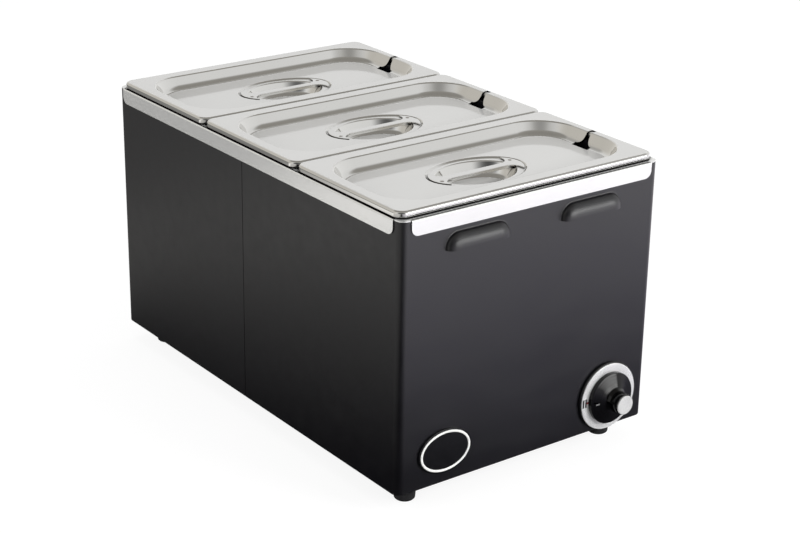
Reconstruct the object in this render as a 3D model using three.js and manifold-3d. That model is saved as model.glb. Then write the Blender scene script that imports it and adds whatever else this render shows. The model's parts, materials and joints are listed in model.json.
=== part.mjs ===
// Bain marie with three third-size gastronorm pans under notched lids.
// Millimetres, +Z up, front towards -Y, origin on the floor at the middle of the whole object.

import * as THREE from "three";
import { mergeVertices } from "three/addons/utils/BufferGeometryUtils.js";
import Module from "manifold-3d";

const wasm = await Module();
wasm.setup();

// Driving dimensions
const trimWidth = 331.6; // over the trim tabs, across
const trimLength = 542; // over the trim tabs, front to back
const casingHeight = 288; // lower edge of the wraps to the top of the tank flange
const footHeight = 24; // floor to the lower edge of the wraps
const seat = 0.3; // gap between two pieces that touch
const overrun = 1; // how far a cutter runs past the sheet that it cuts
const weld = 0.001; // vertices nearer than this are one

// Sheet thicknesses
const wrapSheet = 1.2;
const tankSheet = 1;
const panSheet = 0.8;
const lidSheet = 0.8;
const baseSheet = 1.2;

// Casing, inside the trim tabs
const trimStandoff = seat + tankSheet;
const casingWidth = trimWidth - 2 * trimStandoff;
const casingLength = trimLength - 2 * trimStandoff;
const casingRound = 9; // plan radius of the four upright corners
const flangeTop = footHeight + casingHeight;
const wrapTop = flangeTop - tankSheet - seat;
const bottomLip = 16; // width of the inward lip along the lower edge
const seamPlace = 8; // the upright seam lies this far behind the middle
const seamGap = 0.6;

// Hooded louvres, two on the front and two on the back
const louvreLength = 78;
const louvreHeight = 16.5;
const louvreReach = 8.5;
const louvreStand = 1; // upright stretch of the hood before it rounds over
const louvreRollover = 14;
const louvreFaceRound = 1;
const louvreSpacing = 145; // between the middles of a pair
const louvreBelowTab = 6;

// Trim tabs of the tank flange
const tabDrop = 16.3;
const tabRound = 8;
const tabInset = 13; // from the trim's corner to the end of a tab
const tabRoot = 2; // overlap of the tab's bend with the flange

// Well of the tank
const wellWidth = 310;
const wellLength = 514;
const wellRound = 20;
const wellDepth = 162;
const wellFloorBend = 14;
const wellRimBend = 4;

// Pans and lids: three in a row, one lid pitch apart
const lidLength = 325; // across the object
const lidPitch = 176;
const lidGap = 0.6;
const lidWidth = lidPitch - lidGap;
const lidRound = 11;
const lidSkirt = 5.5;
const lidSkirtBend = 3;
const lidFit = 0.4; // play between a lid's skirt and the pan's rim
const panRimHeight = 6;
const panRimWidth = 8.1;
const panRimBend = 2;
const panLipBend = 3;
const panRound = 22;
const panTaper = 8; // how far each wall draws in over the depth
const panFloorBend = 13;
const waterUnderPans = 18.1; // between the well's floor and a pan
const lidRise = seat + panRimHeight + seat + lidSheet; // tank flange to the top of a lid
const panRimTop = seat + panRimHeight;
const panDepth = wellDepth + panRimTop - waterUnderPans - panSheet;

// Recess and handle dish of a lid
const recessMarginLeft = 14.2;
const recessMarginRight = 10;
const recessMarginSide = 17;
const recessRound = 45;
const recessDepth = 14;
const recessRun = 8; // how far the sloping wall leans in
const recessFloorBend = 10;
const recessRimBend = 2.5;
const dishLength = 118;
const dishWidth = 78;
const dishLedgeDrop = 1.6;
const dishLedgeRun = 2;
const bowlLength = 92;
const bowlWidth = 66;
const bowlDepth = 15;
const bowlRun = 7;
const bowlFloorBend = 7;
const bowlRimBend = 2;

// Ladle notch in the lid's right-hand wall
const notchSlot = 6.5; // width of the slot at the flange
const notchFlare = 24; // width at the floor
const notchFlareRise = 7; // height over which it flares
const notchFloorReach = 6; // how far the hole runs into the recess floor
const notchEdgeMargin = 3; // flange left outside the notch

// Strap handle
const strapWidth = 9;
const strapSheet = 1.5;
const strapEdgeDrop = 2;
const strapSpan = 86; // clear length of the strap between its two end plates
const strapPlateMargin = 1; // end plates to the edge of the ledge
const strapFoldInset = 4; // folded edge to the end of the clear length

// Dial on the front
const dialFromSide = 57; // dial centre to the trim's right side
const dialRise = 37.5; // dial centre above the wraps' lower edge
const dialBackRadius = 38.5;
const dialBackThickness = 3;
const dialBackBore = 7;
const dialRingRadius = 37;
const dialRingBore = 27.5;
const dialRingThickness = 1.2;
const dialBevel = 0.5;

// Knob
const knobRadius = 28.5;
const knobClearance = 0.7; // knob skirt to the dial ring
const knobEdge = 2.6; // thickness of the skirt's rim
const knobWall = 2;
const knobStep = 1.3; // height of each step on the skirt
const knobStepTread = 3;
const knobStepCount = 3;
const knobStemRoot = 13.5;
const knobStemFoot = 2.2; // height at which the stem leaves the steps
const knobStemRise = 6.5; // height at which it is down to its tip's radius
const knobStemTip = 11.6;
const knobLength = 24; // skirt back to the stem's end
const knobTipBend = 0.9;
const knobHub = 6;
const knobBore = 14; // depth of the spindle bore
const capRadius = 10.4;
const capThickness = 1.6;
const capBevel = 0.5;
const pointerHeight = 0.8;
const pointerLength = 6.5;
const pointerMargin = 1.2;

// Thermostat behind the dial
const spindleRadius = 3;
const spindleEntry = 12; // how far the spindle reaches into the body
const thermostatWidth = 44;
const thermostatHeight = 38;
const thermostatDepth = 26;
const bridgeWidth = 56;
const bridgeHeight = 20;
const bridgeThickness = 2;
const thermostatScrewSpacing = 28;
const thermostatScrewRadius = 2;
const thermostatScrewHead = 3.8;
const thermostatScrewHeadHeight = 1.8;
const thermostatScrewLength = 10;
const panelSpindleHole = 5;

// Badge
const badgeFromSide = 59; // badge centre to the trim's left side
const badgeRise = 36;
const badgeLength = 65.5;
const badgeHeight = 47.5;
const badgeThickness = 2.4;
const badgeBevel = 0.6;
const badgeRingMargin = 1.4;
const badgeRingWidth = 1.9;
const badgeRingThickness = 0.8;

// Feet
const footInsetAcross = 35;
const footInsetAlong = 33;
const footTopRadius = 12.5;
const footRadius = 10.9;
const footChamfer = 1.5;
const footRecess = 5.5;
const footRecessDepth = 12;
const footScrewRadius = 2.5;
const footScrewHead = 4.6;
const footScrewHeadHeight = 3;
const footNutAcross = 8;
const footNutHeight = 4;
const footScrewPast = 1.5; // thread past the nut

// Base plate and its screws
const baseInset = 1; // base plate to the inside of the wraps
const ventLength = 60;
const ventWidth = 3.5;
const ventPitch = 11;
const ventCount = 4;
const ventFromMiddle = 110;
const baseScrewRadius = 1.9;
const baseScrewHead = 3.6;
const baseScrewHeadHeight = 2;
const baseScrewPast = 4;
const baseScrewAcross = 70; // from the middle, on the front and back lips
const baseScrewAlong = 150; // from the middle, on the side lips

// Heater under the well
const elementRadius = 4.1;
const elementLegSpacing = 70;
const elementLegCount = 4;
const elementLegLength = 360;
const elementTail = 34;
const elementTailBend = 14;
const halfTurnShare = 2 / 3; // handle of a cubic half turn over the turn's width
const clampBarWidth = 22;
const clampBarThickness = 2;
const clampBarOverhang = 10;
const clampStudRadius = 3;
const clampStudPast = 2;
const clampNutAcross = 10;
const clampNutHeight = 5;
const cutoutRadius = 9;
const cutoutHeight = 8;
const cutoutTabWidth = 6;
const cutoutTabHeight = 9;
const cutoutTabThickness = 0.8;
const cutoutPlace = 60; // in front of the middle
const bulbRadius = 3.2;
const bulbLength = 90;
const capillaryRadius = 1.1;
const bulbPlace = 60; // middle of the bulb, ahead of the well's middle

// Supply side at the back
const glandFromSide = 57;
const glandRise = 40;
const glandThread = 8;
const glandBore = 4.4;
const glandCollar = 12;
const glandCollarLength = 6;
const glandDome = 10;
const glandDomeLength = 10;
const glandDomeTip = 7;
const glandInnerLength = 9;
const glandNutAcross = 22;
const glandNutHeight = 4;
const terminalWidth = 42;
const terminalDepth = 20;
const terminalHeight = 20;
const terminalPoleWidth = 10;
const terminalPoleGap = 4;
const terminalGroove = 6;
const terminalPoles = 3;
const terminalFromBack = 34;
const terminalAside = 45; // from the gland towards the middle
const earthStudRadius = 2.5;
const earthStudLength = 18;
const earthNutAcross = 8;
const earthNutHeight = 4;
const earthFromTerminal = 40;

// Seam backing strips inside the casing
const stripWidth = 30;
const stripSheet = 1.2;
const stripMargin = 22; // strip ends to the wraps' ends

// Counts of facets
const roundFacets = 22;
const knobFacets = 22;
const footFacets = 10;
const smallFacets = 8;
const glandFacets = 14;
const ovalFacets = 28;
const tubeSides = 6;
const elementSteps = 42;
const capillarySteps = 10;
const cornerFacets = 4;
const louvreFacets = 2;
const tabBendFacets = 2;
const tabCornerFacets = 3;
const notchFacets = 4;
const scoopFacets = 8;
const lidCornerPoints = 5;
const panCornerPoints = 4;

const up = new THREE.Vector3(0, 0, 1);
const forwards = new THREE.Vector3(0, -1, 0);
const backwards = new THREE.Vector3(0, 1, 0);

// Solids and geometries

function solidOf(geometry) {
  const bare = geometry.clone();
  bare.deleteAttribute("normal");
  bare.deleteAttribute("uv");
  const merged = mergeVertices(bare, weld);
  const corners = merged.index.array;
  const triangles = [];
  for (let i = 0; i < corners.length; i += 3) {
    const [a, b, c] = corners.slice(i, i + 3);
    if (a !== b && b !== c && c !== a) {
      triangles.push(a, b, c);
    }
  }
  const mesh = new wasm.Mesh({
    numProp: 3,
    vertProperties: merged.attributes.position.array,
    triVerts: new Uint32Array(triangles),
  });
  return new wasm.Manifold(mesh);
}

function geometryOf(solid) {
  const mesh = solid.getMesh();
  const geometry = new THREE.BufferGeometry();
  geometry.setAttribute("position", new THREE.BufferAttribute(mesh.vertProperties, 3));
  geometry.setIndex(new THREE.BufferAttribute(mesh.triVerts, 1));
  const flat = geometry.toNonIndexed();
  flat.computeVertexNormals();
  return flat;
}

function box(sizeX, sizeY, sizeZ, x, y, z) {
  return solidOf(new THREE.BoxGeometry(sizeX, sizeY, sizeZ).translate(x, y, z));
}

// A box from two opposite corners
function boxBetween(low, high) {
  const size = high.map((value, axis) => value - low[axis]);
  const middle = high.map((value, axis) => (value + low[axis]) / 2);
  return box(...size, ...middle);
}

// A shape raised along +Z from z = 0
function raised(shape, height, facets = cornerFacets) {
  return new THREE.ExtrudeGeometry(shape, {
    depth: height,
    bevelEnabled: false,
    curveSegments: facets,
  });
}

// A profile of [radius, height] pairs turned about Z; it starts and ends on the axis or closes
function turned(profile, facets = roundFacets) {
  const points = profile.map(([radius, height]) => new THREE.Vector2(radius, height));
  const area = points.reduce((sum, point, i) => {
    const next = points[(i + 1) % points.length];
    return sum + point.x * next.y - next.x * point.y;
  }, 0);
  if (area < 0) {
    points.reverse();
  }
  if (points[0].x > 0) {
    points.push(points[0].clone());
  }
  return new THREE.LatheGeometry(points, facets).rotateX(Math.PI / 2);
}

function circle(radius) {
  return new THREE.Shape().absarc(0, 0, radius, 0, 2 * Math.PI);
}

function oval(length, height) {
  return new THREE.Shape().absellipse(0, 0, length / 2, height / 2, 0, 2 * Math.PI);
}

function roundedRectangle(width, height, radius) {
  const x = width / 2 - radius;
  const y = height / 2 - radius;
  const shape = new THREE.Shape();
  shape.absarc(x, y, radius, 0, Math.PI / 2);
  shape.absarc(-x, y, radius, Math.PI / 2, Math.PI);
  shape.absarc(-x, -y, radius, Math.PI, 1.5 * Math.PI);
  shape.absarc(x, -y, radius, 1.5 * Math.PI, 2 * Math.PI);
  return shape;
}

function hexagon(across) {
  const reach = across / Math.sqrt(3);
  const shape = new THREE.Shape();
  for (let side = 0; side < 6; side += 1) {
    const angle = (side * Math.PI) / 3;
    const x = reach * Math.cos(angle);
    const y = reach * Math.sin(angle);
    if (side === 0) {
      shape.moveTo(x, y);
    } else {
      shape.lineTo(x, y);
    }
  }
  return shape;
}

// Frame on an upright face: x along the face, y up, z out of it
function onFace(out, x, y, z) {
  const along = new THREE.Vector3().crossVectors(up, out);
  return new THREE.Matrix4().makeBasis(along, up, out).setPosition(x, y, z);
}

// Pressed sheets: rings of a section, lofted about the middle

// One ring: a rounded rectangle or an oval, grown outwards by spread
function ringPoints({ outline, spread, z }, perCorner) {
  const points = [];
  for (let corner = 0; corner < 4; corner += 1) {
    const signX = corner === 0 || corner === 3 ? 1 : -1;
    const signY = corner < 2 ? 1 : -1;
    for (let step = 0; step < perCorner; step += 1) {
      const share = outline.oval ? (step + 0.5) / perCorner : step / (perCorner - 1);
      const angle = ((corner + share) * Math.PI) / 2;
      const round = outline.oval ? 0 : outline.round;
      const reachX = outline.oval ? outline.halfX : round;
      const reachY = outline.oval ? outline.halfY : round;
      const originX = outline.oval ? 0 : signX * (outline.halfX - round);
      const originY = outline.oval ? 0 : signY * (outline.halfY - round);
      const x = outline.x + originX + (reachX + spread) * Math.cos(angle);
      const y = originY + (reachY + spread) * Math.sin(angle);
      points.push(x, y, z);
    }
  }
  return points;
}

// Place of a section's point as distance from the middle and height
function sectionPoint({ outline, spread, z }) {
  return new THREE.Vector2(outline.halfY + spread, z);
}

// A section given by its corners, each rounded by its bend radius in so many steps
function bentSection(corners) {
  const section = [];
  corners.forEach((corner, i) => {
    if (!corner.bend) {
      section.push(corner);
      return;
    }
    const here = sectionPoint(corner);
    const before = i === 0 ? new THREE.Vector2(0, corner.z) : sectionPoint(corners[i - 1]);
    const after = sectionPoint(corners[i + 1]);
    const arriving = here.clone().sub(before).angle();
    const leaving = after.clone().sub(here).angle();
    const turn = Math.atan2(Math.sin(leaving - arriving), Math.cos(leaving - arriving));
    const side = Math.sign(turn);
    const tangent = corner.bend * Math.tan(Math.abs(turn) / 2);
    const startX = -tangent * Math.cos(arriving);
    const startZ = -tangent * Math.sin(arriving);
    const centreX = startX - side * corner.bend * Math.sin(arriving);
    const centreZ = startZ + side * corner.bend * Math.cos(arriving);
    for (let step = 0; step <= corner.steps; step += 1) {
      const angle = arriving + (turn * step) / corner.steps;
      section.push({
        outline: corner.outline,
        spread: corner.spread + centreX + side * corner.bend * Math.sin(angle),
        z: corner.z + centreZ - side * corner.bend * Math.cos(angle),
      });
    }
  });
  return section;
}

// The under side of a section, one sheet thickness away
function underside(section, sheet) {
  return section.map((point, i) => {
    const here = sectionPoint(point);
    const before = i === 0 ? new THREE.Vector2(0, point.z) : sectionPoint(section[i - 1]);
    const arriving = here.clone().sub(before).normalize();
    const isLast = i === section.length - 1;
    const leaving = isLast ? arriving : sectionPoint(section[i + 1]).sub(here).normalize();
    const normalX = arriving.y + leaving.y;
    const normalZ = -arriving.x - leaving.x;
    const scale = sheet / (1 + arriving.dot(leaving));
    return {
      outline: point.outline,
      spread: point.spread + scale * normalX,
      z: point.z + scale * normalZ,
    };
  });
}

function pressedSheet(corners, sheet, perCorner) {
  const section = bentSection(corners);
  const rings = [...section, ...underside(section, sheet).reverse()];
  const count = 4 * perCorner;
  const positions = rings.flatMap((ring) => ringPoints(ring, perCorner));
  const ends = [rings[0], rings[rings.length - 1]];
  ends.forEach((ring) => positions.push(ring.outline.x, 0, ring.z));
  const top = rings.length * count;
  const bottom = top + 1;
  const lastRing = (rings.length - 1) * count;
  const index = [];
  for (let j = 0; j < count; j += 1) {
    const next = (j + 1) % count;
    index.push(top, j, next);
    index.push(bottom, lastRing + next, lastRing + j);
    for (let i = 0; i < rings.length - 1; i += 1) {
      const inner = i * count;
      const outer = inner + count;
      index.push(inner + j, outer + j, outer + next);
      index.push(inner + j, outer + next, inner + next);
    }
  }
  const geometry = new THREE.BufferGeometry();
  geometry.setAttribute("position", new THREE.Float32BufferAttribute(positions, 3));
  geometry.setIndex(index);
  return solidOf(geometry);
}

// Materials

function material(color, roughness, metalness) {
  return new THREE.MeshStandardMaterial({ color, roughness, metalness });
}

const blackCoat = () => material(0x3f3e42, 0.5, 0.2);
const polishedSteel = () => material(0xd6d5d0, 0.18, 1);
const brushedSteel = () => material(0xcfcfcc, 0.35, 1);
const galvanised = () => material(0xa8abad, 0.5, 0.9);
const zincPlated = () => material(0xb9b9b2, 0.4, 1);
const blackPlastic = () => material(0x111113, 0.25, 0);
const satinSilver = () => material(0xc9c9c9, 0.3, 0.8);
const whiteEnamel = () => material(0xf2f2f0, 0.4, 0);
const blackRubber = () => material(0x0d0d0d, 0.8, 0);
const darkAlloy = () => material(0x6b6560, 0.45, 0.8);
const creamPlastic = () => material(0xe6e0cc, 0.5, 0);
const brass = () => material(0xc3a24e, 0.35, 1);
const copper = () => material(0xb46a48, 0.35, 1);

const pieces = new THREE.Group();

function addPiece(name, geometry, look, parent = pieces) {
  const mesh = new THREE.Mesh(geometry, look);
  mesh.name = name;
  parent.add(mesh);
  return mesh;
}

// Places that several pieces share

const frontFace = -casingLength / 2;
const backFace = casingLength / 2;
const dialX = trimWidth / 2 - dialFromSide;
const dialZ = footHeight + dialRise;
const glandX = trimWidth / 2 - glandFromSide;
const glandZ = footHeight + glandRise;
const lipTop = footHeight + wrapSheet;
const basePlateBottom = lipTop + seat;
const basePlateTop = basePlateBottom + baseSheet;
const wellUnderside = flangeTop - wellDepth - tankSheet;
const lidPlaces = [-lidPitch, 0, lidPitch];
const thermostatScrewX = [-thermostatScrewSpacing / 2, thermostatScrewSpacing / 2];

const footPlaces = [-1, 1].flatMap((sideX) =>
  [-1, 1].map((sideY) => [
    sideX * (trimWidth / 2 - footInsetAcross),
    sideY * (trimLength / 2 - footInsetAlong),
  ]),
);

const lipMiddleX = casingWidth / 2 - wrapSheet - (bottomLip - wrapSheet) / 2;
const lipMiddleY = casingLength / 2 - wrapSheet - (bottomLip - wrapSheet) / 2;
const baseScrewPlaces = [-1, 1].flatMap((sideY) => [
  [-baseScrewAcross, sideY * lipMiddleY],
  [baseScrewAcross, sideY * lipMiddleY],
  [-lipMiddleX, sideY * baseScrewAlong],
  [lipMiddleX, sideY * baseScrewAlong],
]);

// Wraps

// Flat front of a hood, run on below the mouth by one height
function louvreFace() {
  const half = louvreLength / 2 - louvreRollover;
  const top = louvreHeight - louvreRollover;
  const round = louvreFaceRound;
  const shape = new THREE.Shape();
  shape.moveTo(half, -louvreHeight);
  shape.absarc(half - round, top - round, round, 0, Math.PI / 2);
  shape.absarc(round - half, top - round, round, Math.PI / 2, Math.PI);
  shape.lineTo(-half, -louvreHeight);
  return shape;
}

function louvreBulge(reach, rollover, behind) {
  const geometry = new THREE.ExtrudeGeometry(louvreFace(), {
    depth: behind + louvreStand,
    bevelThickness: reach - louvreStand,
    bevelSize: rollover,
    bevelSegments: louvreFacets,
    curveSegments: louvreFacets,
  });
  return geometry.translate(0, 0, -behind);
}

// Hood and void of one louvre, on the face's own frame with y = 0 at the mouth
function louvre(frame) {
  const wide = louvreLength;
  const behind = wrapSheet + overrun;
  const hood = solidOf(louvreBulge(louvreReach, louvreRollover, 0)).intersect(
    boxBetween([-wide, 0, -wrapSheet / 2], [wide, louvreHeight + overrun, louvreReach + overrun]),
  );
  const inside = solidOf(
    louvreBulge(louvreReach - wrapSheet, louvreRollover - wrapSheet, behind),
  ).subtract(boxBetween([-wide, -2 * louvreHeight, -wide], [wide, 0, 0]));
  const place = frame.toArray();
  return [hood.transform(place), inside.transform(place)];
}

function louvresOn(out, y) {
  const mouth = flangeTop - tabDrop - louvreBelowTab - louvreHeight;
  return [-1, 1].map((side) => louvre(onFace(out, (side * louvreSpacing) / 2, y, mouth)));
}

function casingShell() {
  const outer = roundedRectangle(casingWidth, casingLength, casingRound);
  outer.holes.push(
    roundedRectangle(
      casingWidth - 2 * wrapSheet,
      casingLength - 2 * wrapSheet,
      casingRound - wrapSheet,
    ),
  );
  const walls = solidOf(raised(outer, wrapTop - footHeight).translate(0, 0, footHeight));
  const lip = roundedRectangle(casingWidth, casingLength, casingRound);
  lip.holes.push(
    roundedRectangle(casingWidth - 2 * bottomLip, casingLength - 2 * bottomLip, wrapSheet),
  );
  return walls.add(solidOf(raised(lip, wrapSheet).translate(0, 0, footHeight)));
}

function roundHole(radius, depth, matrix, facets = smallFacets) {
  const cutter = turned(
    [
      [0, -depth],
      [radius, -depth],
      [radius, depth],
      [0, depth],
    ],
    facets,
  );
  return solidOf(cutter.applyMatrix4(matrix));
}

function wrap(side, out, face, holes) {
  const edge = seamPlace + (side * seamGap) / 2;
  const beyond = side * casingLength;
  const reach = boxBetween(
    [-casingWidth, Math.min(edge, beyond), -footHeight],
    [casingWidth, Math.max(edge, beyond), flangeTop + footHeight],
  );
  let solid = casingShell().intersect(reach);
  louvresOn(out, face).forEach(([hood, inside]) => {
    solid = solid.add(hood).subtract(inside);
  });
  holes.forEach((hole) => {
    solid = solid.subtract(hole);
  });
  baseScrewPlaces.forEach(([x, y]) => {
    const matrix = new THREE.Matrix4().makeTranslation(x, y, footHeight);
    solid = solid.subtract(roundHole(baseScrewRadius + seat, wrapSheet + overrun, matrix));
  });
  return solid;
}

function frontWrapHoles() {
  const through = wrapSheet + overrun;
  const spindleHole = roundHole(panelSpindleHole, through, onFace(forwards, dialX, frontFace, dialZ));
  const screwHoles = thermostatScrewX.map((x) =>
    roundHole(
      thermostatScrewRadius + seat,
      through,
      onFace(forwards, dialX + x, frontFace, dialZ),
    ),
  );
  return [spindleHole, ...screwHoles];
}

function addWraps() {
  const front = wrap(-1, forwards, frontFace, frontWrapHoles());
  addPiece("front_wrap", geometryOf(front), blackCoat());
  const glandHole = roundHole(
    glandThread + seat,
    wrapSheet + overrun,
    onFace(backwards, glandX, backFace, glandZ),
    glandFacets,
  );
  const rear = wrap(1, backwards, backFace, [glandHole]);
  addPiece("rear_wrap", geometryOf(rear), blackCoat());
}

function addSeamStrips() {
  const low = footHeight + stripMargin;
  const high = wrapTop - stripMargin;
  const strip = new THREE.BoxGeometry(stripSheet, stripWidth, high - low);
  const x = casingWidth / 2 - wrapSheet - seat - stripSheet / 2;
  ["left", "right"].forEach((name, i) => {
    const mesh = addPiece("seam_strip_" + name, strip, galvanised());
    mesh.position.set(i === 0 ? -x : x, seamPlace, (low + high) / 2);
  });
}

// Base plate, feet and their fasteners

function addBasePlate() {
  const inset = wrapSheet + baseInset;
  const plate = roundedRectangle(
    casingWidth - 2 * inset,
    casingLength - 2 * inset,
    casingRound - wrapSheet,
  );
  const holes = [
    ...footPlaces.map(([x, y]) => [x, y, footScrewRadius + seat]),
    ...baseScrewPlaces.map(([x, y]) => [x, y, baseScrewRadius + seat]),
  ];
  let solid = solidOf(raised(plate, baseSheet).translate(0, 0, basePlateBottom));
  holes.forEach(([x, y, radius]) => {
    const matrix = new THREE.Matrix4().makeTranslation(x, y, basePlateBottom);
    solid = solid.subtract(roundHole(radius, baseSheet + overrun, matrix));
  });
  [-1, 1].forEach((side) => {
    for (let i = 0; i < ventCount; i += 1) {
      const y = side * ventFromMiddle + (i - (ventCount - 1) / 2) * ventPitch;
      const depth = baseSheet + 2 * overrun;
      solid = solid.subtract(
        box(ventLength, ventWidth, depth, 0, y, basePlateBottom + baseSheet / 2),
      );
    }
  });
  addPiece("base_plate", geometryOf(solid), galvanised());
}

// A screw with its head below z = 0 and its shank up to z = length
function screw(radius, headRadius, headHeight, length) {
  return turned(
    [
      [0, -headHeight],
      [headRadius, -headHeight],
      [headRadius, 0],
      [radius, 0],
      [radius, length],
      [0, length],
    ],
    smallFacets,
  );
}

function nut(across, height, bore, facets = smallFacets) {
  const shape = hexagon(across);
  shape.holes.push(circle(bore));
  return raised(shape, height, facets / 2);
}

function addFeet() {
  const top = basePlateBottom - seat;
  const screwHole = footScrewRadius + seat;
  const foot = turned(
    [
      [screwHole, top],
      [footTopRadius, top],
      [footTopRadius, top - footChamfer],
      [footRadius, footChamfer],
      [footRadius - footChamfer, 0],
      [footRecess, 0],
      [footRecess, footRecessDepth],
      [screwHole, footRecessDepth],
    ],
    footFacets,
  );
  const headTop = footRecessDepth - seat;
  const nutBottom = basePlateTop + seat;
  const shank = nutBottom + footNutHeight + footScrewPast - headTop;
  const footScrew = screw(footScrewRadius, footScrewHead, footScrewHeadHeight, shank);
  const footNut = nut(footNutAcross, footNutHeight, screwHole);
  footPlaces.forEach(([x, y], i) => {
    const number = i + 1;
    addPiece("foot_" + number, foot, blackRubber()).position.set(x, y, 0);
    addPiece("foot_screw_" + number, footScrew, zincPlated()).position.set(x, y, headTop);
    addPiece("foot_nut_" + number, footNut, zincPlated()).position.set(x, y, nutBottom);
  });
}

function addBaseScrews() {
  const length = seat + wrapSheet + seat + baseSheet + baseScrewPast;
  const geometry = screw(baseScrewRadius, baseScrewHead, baseScrewHeadHeight, length);
  baseScrewPlaces.forEach(([x, y], i) => {
    const mesh = addPiece("base_screw_" + (i + 1), geometry, zincPlated());
    mesh.position.set(x, y, footHeight - seat);
  });
}

// Tank

function rectangleOutline(width, length, round, x = 0) {
  return { halfX: width / 2, halfY: length / 2, round, x };
}

function tabSection() {
  const shape = new THREE.Shape();
  shape.moveTo(-tabRoot, 0);
  shape.lineTo(-tabRoot, -tankSheet);
  shape.absarc(0, -trimStandoff, seat, Math.PI / 2, 0, true);
  shape.lineTo(seat, -tabDrop);
  shape.lineTo(trimStandoff, -tabDrop);
  shape.absarc(0, -trimStandoff, trimStandoff, 0, Math.PI / 2);
  return shape;
}

function tabFront(length) {
  const half = length / 2;
  const shape = new THREE.Shape();
  shape.moveTo(-half, overrun);
  shape.absarc(-half + tabRound, tabRound - tabDrop, tabRound, Math.PI, 1.5 * Math.PI);
  shape.absarc(half - tabRound, tabRound - tabDrop, tabRound, 1.5 * Math.PI, 2 * Math.PI);
  shape.lineTo(half, overrun);
  return shape;
}

// A tab bent down over one side of the casing; out points away from it
function trimTab(out, reach, length) {
  const along = new THREE.Vector3().crossVectors(out, up);
  const bar = raised(tabSection(), length, tabBendFacets).translate(0, 0, -length / 2);
  bar.applyMatrix4(new THREE.Matrix4().makeBasis(out, up, along));
  const depth = tabRoot + trimStandoff + 2 * overrun;
  const outline = raised(tabFront(length), depth, tabCornerFacets);
  outline.translate(0, 0, -tabRoot - overrun);
  outline.applyMatrix4(onFace(out, 0, 0, 0));
  const place = out.clone().multiplyScalar(reach);
  const tab = solidOf(bar).intersect(solidOf(outline));
  return tab.translate([place.x, place.y, place.z]);
}

function clampStudPlaces() {
  return [-elementLegSpacing, elementLegSpacing].map((x) => [x, 0]);
}

function addTank() {
  const well = rectangleOutline(wellWidth, wellLength, wellRound);
  const flange = rectangleOutline(casingWidth, casingLength, casingRound);
  let solid = pressedSheet(
    [
      { outline: well, spread: 0, z: -wellDepth, bend: wellFloorBend, steps: 2 },
      { outline: well, spread: 0, z: 0, bend: wellRimBend, steps: 1 },
      { outline: flange, spread: 0, z: 0 },
    ],
    tankSheet,
    panCornerPoints,
  );
  const longTab = trimLength - 2 * tabInset;
  const shortTab = trimWidth - 2 * tabInset;
  [-1, 1].forEach((side) => {
    const endOut = new THREE.Vector3(0, side, 0);
    const sideOut = new THREE.Vector3(side, 0, 0);
    solid = solid.add(trimTab(endOut, casingLength / 2, shortTab));
    solid = solid.add(trimTab(sideOut, casingWidth / 2, longTab));
  });
  const studLength =
    seat + 2 * elementRadius + seat + clampBarThickness + seat + clampNutHeight + clampStudPast;
  clampStudPlaces().forEach(([x, y]) => {
    const root = -wellDepth - tankSheet;
    const stud = turned(
      [
        [0, root - studLength],
        [clampStudRadius, root - studLength],
        [clampStudRadius, root + tankSheet / 2],
        [0, root + tankSheet / 2],
      ],
      smallFacets,
    );
    solid = solid.add(solidOf(stud.translate(x, y, 0)));
  });
  const mesh = addPiece("tank", geometryOf(solid), polishedSteel());
  mesh.position.z = flangeTop;
}

// Pans, lids and strap handles

const panFit = lidSheet + lidFit;

function panSolid() {
  const length = lidLength - 2 * panFit;
  const width = lidWidth - 2 * panFit;
  const rim = rectangleOutline(length, width, lidRound - panFit);
  const body = rectangleOutline(length - 2 * panRimWidth, width - 2 * panRimWidth, panRound);
  return pressedSheet(
    [
      { outline: body, spread: -panTaper, z: panRimTop - panDepth, bend: panFloorBend, steps: 2 },
      { outline: body, spread: 0, z: panRimTop, bend: panLipBend, steps: 1 },
      { outline: rim, spread: 0, z: panRimTop, bend: panRimBend, steps: 1 },
      { outline: rim, spread: 0, z: seat },
    ],
    panSheet,
    panCornerPoints,
  );
}

function recessOutline() {
  return rectangleOutline(
    lidLength - recessMarginLeft - recessMarginRight,
    lidWidth - 2 * recessMarginSide,
    recessRound,
    (recessMarginLeft - recessMarginRight) / 2,
  );
}

const recessFloor = lidRise - recessDepth;
const ledgeTop = recessFloor - dishLedgeDrop;

// Slot through the recess wall that flares out to a rounded hole at the floor
function notchCutter() {
  const outer = lidLength / 2 - notchEdgeMargin;
  const wallFoot = lidLength / 2 - recessMarginRight - recessRun;
  const bottom = recessFloor - lidSheet - overrun;
  const shoulder = recessFloor + notchFlareRise;
  const slot = notchSlot / 2;
  const flare = notchFlare / 2;
  const bell = new THREE.Shape();
  bell.moveTo(-flare, bottom);
  bell.lineTo(flare, bottom);
  bell.lineTo(flare, recessFloor);
  bell.quadraticCurveTo(slot, recessFloor, slot, shoulder);
  bell.lineTo(slot, lidRise + overrun);
  bell.lineTo(-slot, lidRise + overrun);
  bell.lineTo(-slot, shoulder);
  bell.quadraticCurveTo(-slot, recessFloor, -flare, recessFloor);
  const bar = raised(bell, outer - wallFoot, notchFacets);
  const eastwards = new THREE.Matrix4().makeBasis(backwards, up, new THREE.Vector3(1, 0, 0));
  bar.applyMatrix4(eastwards.setPosition(wallFoot, 0, 0));
  const hole = oval(2 * notchFloorReach, notchFlare);
  const scoop = raised(hole, shoulder - bottom, scoopFacets);
  return solidOf(bar).add(solidOf(scoop.translate(wallFoot, 0, bottom)));
}

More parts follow.
